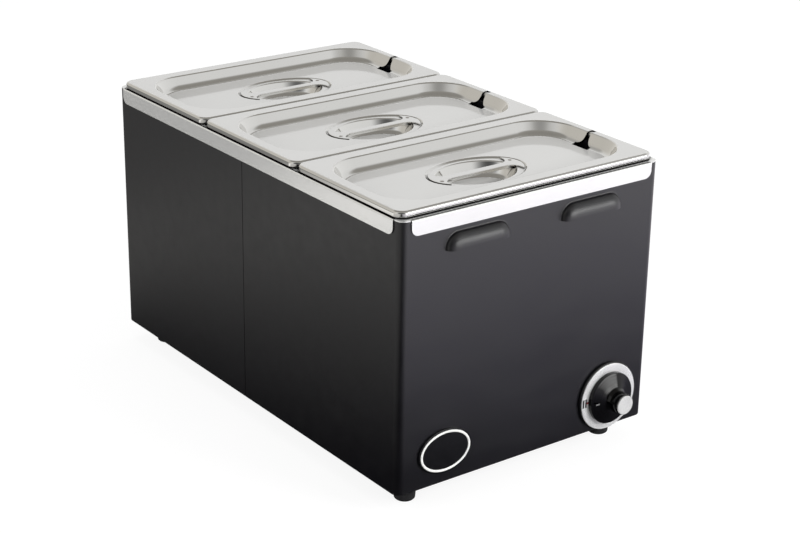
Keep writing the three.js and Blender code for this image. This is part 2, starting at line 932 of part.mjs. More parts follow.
function lidSolid() {
  const flange = rectangleOutline(lidLength, lidWidth, lidRound);
  const recess = recessOutline();
  const dish = { oval: true, halfX: dishLength / 2, halfY: dishWidth / 2, x: 0 };
  const bowl = { oval: true, halfX: bowlLength / 2, halfY: bowlWidth / 2, x: 0 };
  const sheet = pressedSheet(
    [
      { outline: bowl, spread: -bowlRun, z: ledgeTop - bowlDepth, bend: bowlFloorBend, steps: 2 },
      { outline: bowl, spread: 0, z: ledgeTop, bend: bowlRimBend, steps: 1 },
      { outline: dish, spread: -dishLedgeRun, z: ledgeTop },
      { outline: dish, spread: 0, z: recessFloor },
      { outline: recess, spread: -recessRun, z: recessFloor, bend: recessFloorBend, steps: 2 },
      { outline: recess, spread: 0, z: lidRise, bend: recessRimBend, steps: 1 },
      { outline: flange, spread: 0, z: lidRise, bend: lidSkirtBend, steps: 2 },
      { outline: flange, spread: 0, z: lidRise - lidSkirt },
    ],
    lidSheet,
    lidCornerPoints,
  );
  return sheet.subtract(notchCutter());
}

function strapSolid() {
  const margin = dishLedgeRun + strapPlateMargin;
  const plateLength = dishLength - 2 * margin;
  const plateWidth = dishWidth - 2 * margin;
  let solid = solidOf(raised(oval(plateLength, plateWidth), strapSheet, scoopFacets));
  [-1, 1].forEach((side) => {
    const near = (side * strapWidth) / 2;
    const far = side * plateWidth;
    const low = [-strapSpan / 2, Math.min(near, far), -overrun];
    const high = [strapSpan / 2, Math.max(near, far), strapSheet + overrun];
    solid = solid.subtract(boxBetween(low, high));
    const edge = side * (strapWidth - strapSheet) / 2;
    const foldLength = strapSpan - 2 * strapFoldInset;
    const fold = strapEdgeDrop + strapSheet / 2;
    solid = solid.add(box(foldLength, strapSheet, fold, 0, edge, (strapSheet - fold) / 2));
  });
  return solid;
}

function addPansAndLids() {
  const pan = geometryOf(panSolid());
  const lid = geometryOf(lidSolid());
  const strap = geometryOf(strapSolid());
  lidPlaces.forEach((y, i) => {
    const number = i + 1;
    const place = new THREE.Group();
    place.position.set(0, y, flangeTop);
    pieces.add(place);
    addPiece("pan_" + number, pan, brushedSteel(), place);
    addPiece("lid_" + number, lid, polishedSteel(), place);
    const handle = addPiece("lid_handle_" + number, strap, polishedSteel(), place);
    handle.position.z = ledgeTop + seat;
  });
}

// Dial, knob and thermostat, on the front face's frame with z out of it

const dialBackFront = seat + dialBackThickness;
const dialRingBack = dialBackFront + seat;
const dialRingFront = dialRingBack + dialRingThickness;
const knobBack = dialRingFront + knobClearance;

function disc(radius, bore, back, front, bevel) {
  return turned([
    [bore, back],
    [radius, back],
    [radius, front - bevel],
    [radius - bevel, front],
    [bore, front],
  ]);
}

function knobProfile() {
  const edgeFront = knobBack + knobEdge;
  const inside = knobRadius - knobWall;
  const boreRadius = spindleRadius + seat;
  const profile = [
    [0, knobBack + knobBore],
    [boreRadius, knobBack + knobBore],
    [boreRadius, knobBack],
    [knobHub, knobBack],
    [knobHub, edgeFront],
    [inside, knobBack + knobWall / 2],
    [inside, knobBack],
    [knobRadius, knobBack],
    [knobRadius, edgeFront],
  ];
  for (let step = 1; step <= knobStepCount; step += 1) {
    const radius = knobRadius - step * knobStepTread;
    const front = edgeFront + step * knobStep;
    profile.push([radius, front - knobStep]);
    profile.push([radius, front]);
  }
  const stairTop = edgeFront + knobStepCount * knobStep;
  const tip = knobBack + knobLength;
  profile.push([knobStemRoot, stairTop + knobStemFoot]);
  profile.push([knobStemTip, stairTop + knobStemRise]);
  profile.push([knobStemTip, tip - knobTipBend]);
  profile.push([knobStemTip - knobTipBend, tip]);
  profile.push([0, tip]);
  return profile;
}

function knobSolid() {
  const body = solidOf(turned(knobProfile(), knobFacets));
  const outer = -knobRadius + pointerMargin;
  const front = knobBack + knobEdge + pointerHeight;
  const rib = boxBetween(
    [outer, -pointerHeight, knobBack + knobWall],
    [outer + pointerLength, pointerHeight, front + knobStep],
  );
  return body.add(rib);
}

function thermostatSolid() {
  const back = -wrapSheet - seat;
  const bridge = box(
    bridgeWidth,
    bridgeHeight,
    bridgeThickness,
    0,
    0,
    back - bridgeThickness / 2,
  );
  const bodyFront = back - bridgeThickness / 2;
  const body = boxBetween(
    [-thermostatWidth / 2, -thermostatHeight / 2, bodyFront - thermostatDepth],
    [thermostatWidth / 2, thermostatHeight / 2, bodyFront],
  );
  const bore = roundHole(spindleRadius + seat, spindleEntry, faceShift(0, back));
  const screwReach = thermostatScrewLength + seat;
  const screwBores = thermostatScrewX.map((x) =>
    roundHole(thermostatScrewRadius + seat, screwReach, faceShift(x, dialBackFront + seat)),
  );
  let solid = bridge.add(body).subtract(bore);
  screwBores.forEach((hole) => {
    solid = solid.subtract(hole);
  });
  return solid;
}

function faceShift(x, z) {
  return new THREE.Matrix4().makeTranslation(x, 0, z);
}

function addDial() {
  const face = new THREE.Group();
  face.position.set(dialX, frontFace, dialZ);
  face.rotation.x = Math.PI / 2;
  pieces.add(face);
  let back = solidOf(disc(dialBackRadius, dialBackBore, seat, dialBackFront, dialBevel));
  thermostatScrewX.forEach((x) => {
    const depth = dialBackThickness + overrun;
    back = back.subtract(roundHole(thermostatScrewRadius + seat, depth, faceShift(x, seat)));
  });
  addPiece("dial_back", geometryOf(back), blackPlastic(), face);
  const ring = disc(dialRingRadius, dialRingBore, dialRingBack, dialRingFront, dialBevel);
  addPiece("dial_ring", ring, satinSilver(), face);
  addPiece("knob", geometryOf(knobSolid()), blackPlastic(), face);
  const capBack = knobBack + knobLength + seat;
  const cap = turned([
    [0, capBack],
    [capRadius, capBack],
    [capRadius, capBack + capThickness - capBevel],
    [capRadius - capBevel, capBack + capThickness],
    [0, capBack + capThickness],
  ]);
  addPiece("knob_cap", cap, satinSilver(), face);
  const spindleBack = -wrapSheet - seat - spindleEntry + seat;
  const spindleFront = knobBack + knobBore - seat;
  const spindle = turned(
    [
      [0, spindleBack],
      [spindleRadius, spindleBack],
      [spindleRadius, spindleFront],
      [0, spindleFront],
    ],
    smallFacets,
  );
  addPiece("thermostat_spindle", spindle, zincPlated(), face);
  addPiece("thermostat_body", geometryOf(thermostatSolid()), creamPlastic(), face);
  const screwShape = screw(
    thermostatScrewRadius,
    thermostatScrewHead,
    thermostatScrewHeadHeight,
    thermostatScrewLength,
  ).rotateX(Math.PI);
  thermostatScrewX.forEach((x, i) => {
    const mesh = addPiece("thermostat_screw_" + (i + 1), screwShape, zincPlated(), face);
    mesh.position.set(x, 0, dialBackFront + seat);
  });
}

// Badge, left bare

function addBadge() {
  const face = new THREE.Group();
  face.position.set(-trimWidth / 2 + badgeFromSide, frontFace, footHeight + badgeRise);
  face.rotation.x = Math.PI / 2;
  pieces.add(face);
  const core = oval(badgeLength - 2 * badgeBevel, badgeHeight - 2 * badgeBevel);
  const plate = new THREE.ExtrudeGeometry(core, {
    depth: badgeThickness - 2 * badgeBevel,
    bevelThickness: badgeBevel,
    bevelSize: badgeBevel,
    bevelSegments: 1,
    curveSegments: ovalFacets / 2,
  }).translate(0, 0, seat + badgeBevel);
  addPiece("badge_plate", plate, blackPlastic(), face);
  const inset = 2 * (badgeBevel + badgeRingMargin);
  const ring = oval(badgeLength - inset, badgeHeight - inset);
  const inner = inset + 2 * badgeRingWidth;
  ring.holes.push(oval(badgeLength - inner, badgeHeight - inner));
  const border = raised(ring, badgeRingThickness, ovalFacets / 2);
  addPiece("badge_ring", border, whiteEnamel(), face).position.z = seat + badgeThickness + seat;
}

// Heater, clamp, cut-out and bulb under the well

const elementZ = wellUnderside - seat - elementRadius;

// Legs side by side joined by half turns, both tails bent down at the back
function elementPath() {
  const path = new THREE.CurvePath();
  const half = elementLegLength / 2;
  const turn = elementLegSpacing / 2;
  const firstX = (-elementLegSpacing * (elementLegCount - 1)) / 2;
  const point = (x, y, z) => new THREE.Vector3(x, y, z);
  const tailBend = (x) => [
    point(x, half + elementTail, elementZ - elementTail),
    point(x, half + elementTail, elementZ - elementTailBend),
    point(x, half + elementTail, elementZ),
    point(x, half + elementTail - elementTailBend, elementZ),
  ];
  const [down, bendLow, bendCorner, bendEnd] = tailBend(firstX);
  path.add(new THREE.LineCurve3(down, bendLow));
  path.add(new THREE.QuadraticBezierCurve3(bendLow, bendCorner, bendEnd));
  let place = bendEnd;
  for (let leg = 0; leg < elementLegCount; leg += 1) {
    const x = firstX + leg * elementLegSpacing;
    const heading = leg % 2 === 0 ? -1 : 1;
    const isLast = leg === elementLegCount - 1;
    const reach = half - turn;
    const end = isLast ? tailBend(x)[3] : point(x, heading * reach, elementZ);
    path.add(new THREE.LineCurve3(place, end));
    place = end;
    if (!isLast) {
      const next = x + elementLegSpacing;
      const bulge = heading * elementLegSpacing * halfTurnShare;
      const far = point(next, heading * reach, elementZ);
      path.add(
        new THREE.CubicBezierCurve3(
          end,
          point(x, heading * reach + bulge, elementZ),
          point(next, heading * reach + bulge, elementZ),
          far,
        ),
      );
      place = far;
    }
  }
  const [lastDown, lastLow, lastCorner] = tailBend(-firstX);
  path.add(new THREE.QuadraticBezierCurve3(place, lastCorner, lastLow));
  path.add(new THREE.LineCurve3(lastLow, lastDown));
  return path;
}

function tube(path, radius, steps, sides) {
  const section = new THREE.Shape();
  for (let side = 0; side < sides; side += 1) {
    const angle = (2 * Math.PI * side) / sides;
    const x = radius * Math.cos(angle);
    const y = radius * Math.sin(angle);
    if (side === 0) {
      section.moveTo(x, y);
    } else {
      section.lineTo(x, y);
    }
  }
  return new THREE.ExtrudeGeometry(section, { steps, extrudePath: path, bevelEnabled: false });
}

function addHeater() {
  const element = tube(elementPath(), elementRadius, elementSteps, tubeSides);
  addPiece("heating_element", element, darkAlloy());
  const barTop = elementZ - elementRadius - seat;
  const barLength = elementLegSpacing * (elementLegCount - 1) + 2 * clampBarOverhang;
  const bar = roundedRectangle(barLength, clampBarWidth, clampBarThickness);
  clampStudPlaces().forEach(([x, y]) => {
    const hole = new THREE.Path().absarc(x, y, clampStudRadius + seat, 0, 2 * Math.PI);
    bar.holes.push(hole);
  });
  const barGeometry = raised(bar, clampBarThickness, smallFacets / 2);
  const plate = addPiece("element_clamp_bar", barGeometry, galvanised());
  plate.position.z = barTop - clampBarThickness;
  const nutShape = nut(clampNutAcross, clampNutHeight, clampStudRadius + seat);
  clampStudPlaces().forEach(([x, y], i) => {
    const mesh = addPiece("clamp_nut_" + (i + 1), nutShape, zincPlated());
    mesh.position.set(x, y, plate.position.z - seat - clampNutHeight);
  });
}

function addCutout() {
  const disk = turned(
    [
      [0, -cutoutHeight],
      [cutoutRadius, -cutoutHeight],
      [cutoutRadius, 0],
      [0, 0],
    ],
    footFacets,
  );
  let solid = solidOf(disk);
  [-1, 1].forEach((side) => {
    const tab = box(
      cutoutTabWidth,
      cutoutTabThickness,
      cutoutTabHeight,
      0,
      (side * cutoutRadius) / 2,
      -cutoutHeight - cutoutTabHeight / 2 + cutoutTabThickness,
    );
    solid = solid.add(tab);
  });
  const mesh = addPiece("overheat_cutout", geometryOf(solid), blackPlastic());
  mesh.position.set(0, -cutoutPlace, wellUnderside - seat);
}

function addBulb() {
  const bulbZ = wellUnderside - seat - bulbRadius;
  const bulbX = elementLegSpacing;
  const bulbFront = -bulbPlace - bulbLength / 2;
  const bodyBack = frontFace + wrapSheet + seat + bridgeThickness / 2 + thermostatDepth;
  const start = new THREE.Vector3(dialX, bodyBack + seat, dialZ);
  const rise = new THREE.Vector3(dialX, bodyBack + 2 * thermostatDepth, dialZ);
  const under = new THREE.Vector3(bulbX, bulbFront - thermostatDepth, bulbZ);
  const end = new THREE.Vector3(bulbX, bulbFront + bulbRadius, bulbZ);
  const capillary = tube(
    new THREE.CubicBezierCurve3(start, rise, under, end),
    capillaryRadius,
    capillarySteps,
    tubeSides,
  );
  const bulb = turned(
    [
      [0, -bulbLength / 2],
      [bulbRadius / 2, -bulbLength / 2],
      [bulbRadius, -bulbLength / 2 + bulbRadius],
      [bulbRadius, bulbLength / 2 - bulbRadius],
      [bulbRadius / 2, bulbLength / 2],
      [0, bulbLength / 2],
    ],
    smallFacets,
  ).rotateX(Math.PI / 2);
  bulb.translate(bulbX, -bulbPlace, bulbZ);
  addPiece("thermostat_bulb", geometryOf(solidOf(capillary).add(solidOf(bulb))), copper());
}

// Gland, terminal block and earth stud at the back

function addSupply() {
  const face = new THREE.Group();
  face.position.set(glandX, backFace, glandZ);
  face.rotation.x = -Math.PI / 2;
  pieces.add(face);
  const inner = -wrapSheet - glandInnerLength;
  const gland = turned(
    [
      [glandBore, inner],
      [glandThread, inner],
      [glandThread, seat],
      [glandCollar, seat],
      [glandCollar, seat + glandCollarLength],
      [glandDome, seat + glandCollarLength],
      [glandDomeTip, seat + glandCollarLength + glandDomeLength],
      [glandBore, seat + glandCollarLength + glandDomeLength],
    ],
    glandFacets,
  );
  addPiece("cable_gland", gland, blackPlastic(), face);
  const lock = addPiece(
    "gland_nut",
    nut(glandNutAcross, glandNutHeight, glandThread + seat, glandFacets),
    blackPlastic(),
    face,
  );
  lock.position.z = -wrapSheet - seat - glandNutHeight;

  const terminalX = glandX - terminalAside;
  const terminalY = backFace - terminalFromBack;
  let solid = box(terminalWidth, terminalDepth, terminalHeight, 0, 0, terminalHeight / 2);
  for (let pole = 0; pole < terminalPoles; pole += 1) {
    const x = (pole - (terminalPoles - 1) / 2) * (terminalPoleWidth + terminalPoleGap);
    const groove = box(
      terminalPoleWidth,
      terminalDepth + overrun,
      terminalGroove,
      x,
      terminalDepth / 2,
      terminalHeight,
    );
    solid = solid.subtract(groove);
  }
  const terminals = addPiece("terminal_block", geometryOf(solid), creamPlastic());
  terminals.position.set(terminalX, terminalY, basePlateTop + seat);

  const stud = turned(
    [
      [0, 0],
      [earthStudRadius, 0],
      [earthStudRadius, earthStudLength],
      [0, earthStudLength],
    ],
    smallFacets,
  );
  const earthNut = raised(hexagon(earthNutAcross), earthNutHeight);
  const earth = solidOf(stud).add(solidOf(earthNut));
  const mesh = addPiece("earth_stud", geometryOf(earth), brass());
  mesh.position.set(terminalX - earthFromTerminal, terminalY, basePlateTop + seat);
}

addWraps();
addSeamStrips();
addBasePlate();
addFeet();
addBaseScrews();
addTank();
addPansAndLids();
addDial();
addBadge();
addHeater();
addCutout();
addBulb();
addSupply();

// The knob stands out further in front than the gland does at the back
const frontReach = knobBack + knobLength + seat + capThickness;
const backReach = seat + glandCollarLength + glandDomeLength;
pieces.position.y = (frontReach - backReach) / 2;

const bainMarie = new THREE.Group();
bainMarie.add(pieces);

export default bainMarie;
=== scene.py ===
import json
import math
from collections import namedtuple

import bpy
from mathutils import Matrix, Vector


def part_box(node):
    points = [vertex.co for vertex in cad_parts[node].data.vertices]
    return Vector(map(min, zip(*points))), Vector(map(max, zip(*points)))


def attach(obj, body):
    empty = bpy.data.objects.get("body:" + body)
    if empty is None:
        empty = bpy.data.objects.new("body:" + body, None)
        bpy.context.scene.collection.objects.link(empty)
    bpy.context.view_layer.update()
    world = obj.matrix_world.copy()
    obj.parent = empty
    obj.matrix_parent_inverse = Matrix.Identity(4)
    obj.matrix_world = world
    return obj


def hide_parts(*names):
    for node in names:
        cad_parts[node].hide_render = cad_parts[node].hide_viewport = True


# Bain marie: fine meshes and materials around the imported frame.
# Meshes are worked out in millimetres, in the frame's axes, and stored in metres.

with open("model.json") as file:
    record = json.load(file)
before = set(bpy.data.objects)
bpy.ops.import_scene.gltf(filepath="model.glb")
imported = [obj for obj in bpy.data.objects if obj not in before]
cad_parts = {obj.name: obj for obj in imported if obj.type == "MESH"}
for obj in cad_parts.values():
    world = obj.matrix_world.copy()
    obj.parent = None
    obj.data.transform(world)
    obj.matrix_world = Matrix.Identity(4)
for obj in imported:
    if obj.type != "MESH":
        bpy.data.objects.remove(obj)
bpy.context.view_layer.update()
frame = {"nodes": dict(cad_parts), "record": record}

MM = 0.001
CLEAR = 0.3  # gap between two pieces that touch
LIFT = 0.05  # paint and print above what carries it


def low_high(node):
    low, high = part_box(node)
    return low / MM, high / MM


# Driving dimensions that the frame gives
TANK_LOW, TANK_HIGH = low_high("tank")
LID_LOW, LID_HIGH = low_high("lid_2")
TRIM_WIDTH = TANK_HIGH.x - TANK_LOW.x
TRIM_LENGTH = TANK_HIGH.y - TANK_LOW.y
FLANGE_TOP = TANK_HIGH.z
MIDDLE_Y = (TANK_LOW.y + TANK_HIGH.y) / 2
CASING_LOW, CASING_TOP = [end.z for end in low_high("rear_wrap")]
LID_LENGTH = LID_HIGH.x - LID_LOW.x
LID_WIDTH = LID_HIGH.y - LID_LOW.y
LID_TOP = LID_HIGH.z
LID_PLACES = [sum(low_high(f"lid_{i}")[k].y for k in (0, 1)) / 2 for i in (1, 2, 3)]

# Sheets
WRAP_SHEET = 1.2
TANK_SHEET = 1.0
PAN_SHEET = 0.8
LID_SHEET = 0.8
TRIM_STANDOFF = CLEAR + TANK_SHEET
CASING_WIDTH = TRIM_WIDTH - 2 * TRIM_STANDOFF
CASING_LENGTH = TRIM_LENGTH - 2 * TRIM_STANDOFF
FRONT_Y = MIDDLE_Y - CASING_LENGTH / 2
BACK_Y = MIDDLE_Y + CASING_LENGTH / 2
CASING_ROUND = 9
CASING_FOOT_BEND = 1.1
BOTTOM_LIP = 16
SEAM_PLACE = MIDDLE_Y + 8
SEAM_GAP = 0.9
SEAM_EDGE = 0.5

# Louvres
LOUVRE_LENGTH = 78
LOUVRE_HEIGHT = 16.5
LOUVRE_REACH = 8.5
LOUVRE_STAND = 1
LOUVRE_ROLLOVER = 14
LOUVRE_FACE_ROUND = 1
LOUVRE_ROOT = 1.4
LOUVRE_CORNER_STEPS = 8
LOUVRE_SKIN_STEPS = 10
LOUVRE_ROOT_STEPS = 5
LOUVRE_SPACING = 145
LOUVRE_BELOW_TAB = 6

# Trim tabs and well
TAB_DROP = 16.3
TAB_ROUND = 8
TAB_INSET = 13
TAB_ROOT = 2
LOUVRE_MOUTH = FLANGE_TOP - TAB_DROP - LOUVRE_BELOW_TAB - LOUVRE_HEIGHT
WELL_WIDTH = 310
WELL_LENGTH = 514
WELL_ROUND = 20
WELL_DEPTH = 162
WELL_FLOOR_BEND = 14
WELL_RIM_BEND = 4
STUD_RADIUS = 3
STUD_LENGTH = 18.1
STUD_SPACING = 140
STUD_SIDES = 16

# Pans
LID_FIT = 0.4
PAN_RIM_HEIGHT = 6
PAN_RIM_WIDTH = 8.1
PAN_RIM_BEND = 2
PAN_LIP_BEND = 3
PAN_ROUND = 22
WATER_UNDER_PANS = 18.1
PAN_DEPTH = WELL_DEPTH + CLEAR + PAN_RIM_HEIGHT - WATER_UNDER_PANS - PAN_SHEET
PAN_TAPER = 8
PAN_FLOOR_BEND = 13

# Lids
LID_ROUND = 11
LID_SKIRT = 6.1
LID_SKIRT_BEND = 3
RECESS_MARGIN_LEFT = 14.2
RECESS_MARGIN_RIGHT = 10
RECESS_MARGIN_SIDE = 17
RECESS_ROUND = 45
RECESS_DEPTH = 14
RECESS_RUN = 8
RECESS_FLOOR_BEND = 10
RECESS_RIM_BEND = 2.5
DISH_LENGTH = 118
DISH_WIDTH = 78
LEDGE_DROP = 1.6
LEDGE_RUN = 2
LEDGE_BEND = 1
BOWL_LENGTH = 92
BOWL_WIDTH = 66
BOWL_DEPTH = 15
BOWL_RUN = 7
BOWL_FLOOR_BEND = 7
BOWL_RIM_BEND = 2
NOTCH_SLOT = 6.5
NOTCH_FLARE = 24
NOTCH_FLARE_RISE = 9
NOTCH_FOOT = 1.5
NOTCH_FLOOR_REACH = 6
NOTCH_EDGE_MARGIN = 3
NOTCH_STEPS = 12
RECESS_FLOOR = LID_TOP - RECESS_DEPTH
LEDGE_TOP = RECESS_FLOOR - LEDGE_DROP

# Strap handles
STRAP_WIDTH = 9
STRAP_SHEET = 1.5
STRAP_EDGE_DROP = 2
STRAP_SPAN = 94
STRAP_MARGIN = LEDGE_RUN + 1
STRAP_CORNER = 12
STRAP_ARC_STEPS = 32
STRAP_FOLD_INSET = 4
STRAP_FOLD_BEND = 1
STRAP_BEVEL = STRAP_SHEET / 5
WELD_SPOT_RADIUS = 2
WELD_SPOT_INSET = 6.5
WELD_SPOT_ASIDE = 7
WELD_SPOT_SIDES = 32

# Dial, on the front face
DIAL_X = TRIM_WIDTH / 2 - 57
DIAL_Z = CASING_LOW + 37.5
DIAL_BACK_RADIUS = 38.5
DIAL_BACK_THICKNESS = 3
DIAL_BACK_BEND = 1.2
DIAL_BORE = 7
RING_RADIUS = 37
RING_BORE = 27.5
RING_THICKNESS = 1.2
RING_OUTER_BEND = 0.6
RING_INNER_BEND = 0.4
KNOB_RADIUS = 28.5
KNOB_CLEARANCE = 0.7
KNOB_EDGE = 4.4
KNOB_STEP = 1.3
KNOB_TREAD_RISE = 1.0
KNOB_TREAD = 3
KNOB_STEPS = 3
KNOB_STEM_ROOT = 13.5
KNOB_STEM_FOOT = 2.2
KNOB_STEM_RISE = 6.5
KNOB_STEM_TIP = 11.6
KNOB_LENGTH = 24
KNOB_BACK_BEND = 0.3
KNOB_EDGE_BEND = 0.7
KNOB_STEP_BEND = 0.1
KNOB_ROOT_BEND = 3
KNOB_NECK_BEND = 4
KNOB_TIP_BEND = 0.9
CAP_RADIUS = 10.4
CAP_THICKNESS = 1.6
CAP_BEND = 0.6
MARK_MARGIN = 1
MARK_WIDTH = 2.2
MARK_HEIGHT = 9.5
MARK_SPACING = 3.5
MARK_RED_LENGTH = 2.4
MARK_BEND = 0.2
POINTER_LENGTH = 5.5
POINTER_WIDTH = 1.8

# Badge
BADGE_X = 59 - TRIM_WIDTH / 2
BADGE_Z = CASING_LOW + 36
BADGE_LENGTH = 65.5
BADGE_HEIGHT = 47.5
BADGE_THICKNESS = 2.4
BADGE_BEVEL = 0.6
BADGE_RING_MARGIN = 1.1
BADGE_RING_WIDTH = 2.6
BADGE_RING_THICKNESS = 0.8
BADGE_POINTS = 24
BADGE_RING_STEPS = 8

# Feet and gland
FOOT_TOP_RADIUS = 12.5
FOOT_RADIUS = 10.9
FOOT_CHAMFER = 1.5
FOOT_RECESS = 5.5
FOOT_RECESS_DEPTH = 12
FOOT_BORE = 2.8
FOOT_TOP_BEND = 0.8
FOOT_SHOULDER_BEND = 0.5
FOOT_TOE_BEND = 1.2
FOOT_SOLE_BEND = 0.4
FOOT_RECESS_BEND = 0.5
FOOT_SIDES = 48
GLAND_X = TRIM_WIDTH / 2 - 57
GLAND_Z = CASING_LOW + 40
GLAND_THREAD = 8
GLAND_BORE = 4.4
GLAND_COLLAR = 12
GLAND_COLLAR_LENGTH = 6
GLAND_DOME = 10
GLAND_DOME_LENGTH = 10
GLAND_DOME_TIP = 7
GLAND_INNER_LENGTH = 9
GLAND_THREAD_BEND = 0.5
GLAND_SEAT_BEND = 0.6
GLAND_COLLAR_BEND = 1.2
GLAND_NECK_BEND = 0.5
GLAND_DOME_BEND = 2
GLAND_MOUTH_BEND = 0.6
GLAND_SIDES = 64

# Fineness of the meshes
CORNER_POINTS = 14
BEND_STEPS = 6
TURN_SIDES = 96
SMOOTH_ANGLE = 32
LID_SMOOTH_ANGLE = 35
SQUARE = ((-1, -1), (1, -1), (1, 1), (-1, 1))

# Photograph's camera: where it stands, and how it is turned, in degrees
CAMERA_PLACE = Vector((-1.14048, -1.55976, 0.91627))
CAMERA_AZIMUTH = -36.930
CAMERA_ELEVATION = 21.742
CAMERA_ROLL = 0.985
CAMERA_LENS = 84.25

# Studio: brightness of the floor and the room as shiny parts see them
AMBIENT = 0.55
FLOOR_WHITE = 1.1
FLOOR_WHITE_SHARE = 0.8
# the floor's glow for shiny parts by distance from the object, dark close to it: a painted shadow
GLOW_STOPS = ((0, 0.08), (0.06, 0.15), (0.25, 0.38), (0.5, 0.88), (0.56, 0.96), (0.62, 1.14))
GLOW_COOL = (0.99, 0.95, 1.14)
GLOW_WARM = (1.0, 0.985, 0.95)
SKY_STOPS = ((0.0, 0.92), (0.38, 0.84), (0.60, 0.78), (0.76, 0.34), (0.95, 0.28))
SKY_PLAIN = (1, 1, 0.99)
SKY_WARM = (1.0, 0.96, 0.88)
SOFTBOX_WAY = Vector((0.42, -0.91, 0))
SOFTBOX_HALF_WIDTH = 0.32
SOFTBOX_TOP = 0.15
SOFTBOX_EDGE = 0.05
SOFTBOX_GAIN = 5.5
LAMPS = (  # name, place, size, power
    ("key", (1.2, -2.2, 1.4), (1.6, 1.2), 60),
    ("side", (-2.4, 0.7, 1.2), (1.2, 1.6), 26),
    ("top", (0.0, 0.3, 2.6), (1.6, 1.6), 12),
)
LAMP_AIM = Vector((0, 0, 0.2))
FLOOR_SIZE = 14.0

# Directions in the studio, and its smooth steps as start, end, low and high
ACROSS_VIEW = (0.8, -0.6, 0)
GLOW_VIEWING_LINE = (0, 0.4, 0.04, 1)
GLOW_FAR_BACK = (0.45, 0.85, 1, 0.22)
GLOW_LEFT = (0.15, 0.5, 0.55, 1)
GLOW_LEFT_SHIFT = 0.45
COOL_ASIDE = (-0.1, 0.1, 0, 1)
COOL_AWAY = (0.4, 0.58, 1, 0.4)
CAMERA_SIDE = (-0.6, -0.8, 0)
SKY_CAMERA_SIDE = (0.6, 0.9, 1, 0.06)
LEFT_BACK = (-0.63, 0.78, 0)
SKY_LEFT_BACK = (0.4, 0.9, 1, 0.72)
WARM_ABOVE = (0.6, 0.85, 0, 1)
WARM_LEFT_BACK = (0.3, 0.9, 0, 1)

Outline = namedtuple("Outline", "half_x half_y round x oval", defaults=(0, 0, False))
Corner = namedtuple("Corner", "outline spread z bend", defaults=(0,))


# Meshes as (points, faces)


def standing(place, *axes):
    """Frame at a place, with its axes given."""
    return Matrix.Translation(place) @ Matrix(axes).transposed().to_4x4()


def moved(part, matrix):
    return [matrix @ p for p in part[0]], part[1]


def loft(rings, closed_section=False):
    """Closed rings of equal length, one after the other."""
    count = len(rings[0])
    points = [p for ring in rings for p in ring]
    faces = []
    last = len(rings) if closed_section else len(rings) - 1
    for i in range(last):
        near, far = i * count, (i + 1) % len(rings) * count
        for j in range(count):
            k = (j + 1) % count
            faces.append([near + j, far + j, far + k, near + k])
    return points, faces


def capped(rings):
    """A loft with both its ends closed."""
    points, faces = loft(rings)
    count = len(rings[0])
    faces.append(list(range(count)))
    faces.append(list(range(len(points) - count, len(points)))[::-1])
    return points, faces


def lathe(profile, sides=TURN_SIDES):
    """A profile of (radius, height) pairs turned about Z, open on the axis or closed."""
    on_axis = profile[0][0] == 0
    turned = profile[1:-1] if on_axis else profile
    angles = [2 * math.pi * k / sides for k in range(sides)]
    rings = [
        [Vector((radius * math.cos(a), radius * math.sin(a), height)) for a in angles]
        for radius, height in turned
    ]
    return capped(rings) if on_axis else loft(rings, closed_section=True)


def quarter(steps):
    """Angles from zero to a right angle, in so many steps."""
    return [step / steps * math.pi / 2 for step in range(steps + 1)]


def direction(vector):
    return math.atan2(vector.y, vector.x)


def turn_between(first, last):
    """The shorter way round from one angle to another."""
    return (last - first + math.pi) % (2 * math.pi) - math.pi


def rounded(corners, steps=BEND_STEPS):
    """Closed polyline of (a, b, bend) corners, with each bend as an arc."""
    out = []
    for i, (a, b, bend) in enumerate(corners):
        here = Vector((a, b))
        if not bend:
            out.append((a, b))
            continue
        back = (Vector(corners[i - 1][:2]) - here).normalized()
        on = (Vector(corners[(i + 1) % len(corners)][:2]) - here).normalized()
        half = back.angle(on) / 2
        centre = here + (back + on).normalized() * bend / math.sin(half)
        start = here + back * bend / math.tan(half) - centre
        end = here + on * bend / math.tan(half) - centre
        first = direction(start)
        turn = turn_between(first, direction(end))
        for step in range(steps + 1):
            angle = first + turn * step / steps
            out.append((centre.x + bend * math.cos(angle), centre.y + bend * math.sin(angle)))
    return out


def prism(outline, low, high):
    """A flat outline of (x, y) points raised from low to high."""
    return capped([[Vector((x, y, z)) for x, y in outline] for z in (low, high)])


def ring_points(outline, spread, z, per_corner=CORNER_POINTS):
    """A rounded rectangle or an oval, grown outwards by spread."""
    points = []
    reach_x, reach_y = outline[:2] if outline.oval else (outline.round, outline.round)
    for corner, (sign_x, sign_y) in enumerate(((1, 1), (-1, 1), (-1, -1), (1, -1))):
        start_x = sign_x * (outline.half_x - reach_x)
        start_y = sign_y * (outline.half_y - reach_y)
        for step in range(per_corner):
            share = (step + 0.5) / per_corner if outline.oval else step / (per_corner - 1)
            angle = (corner + share) * math.pi / 2
            x = outline.x + start_x + (reach_x + spread) * math.cos(angle)
            y = start_y + (reach_y + spread) * math.sin(angle)
            points.append(Vector((x, y, z)))
    return points


def section_point(corner):
    return Vector((corner.outline.half_y + corner.spread, corner.z))


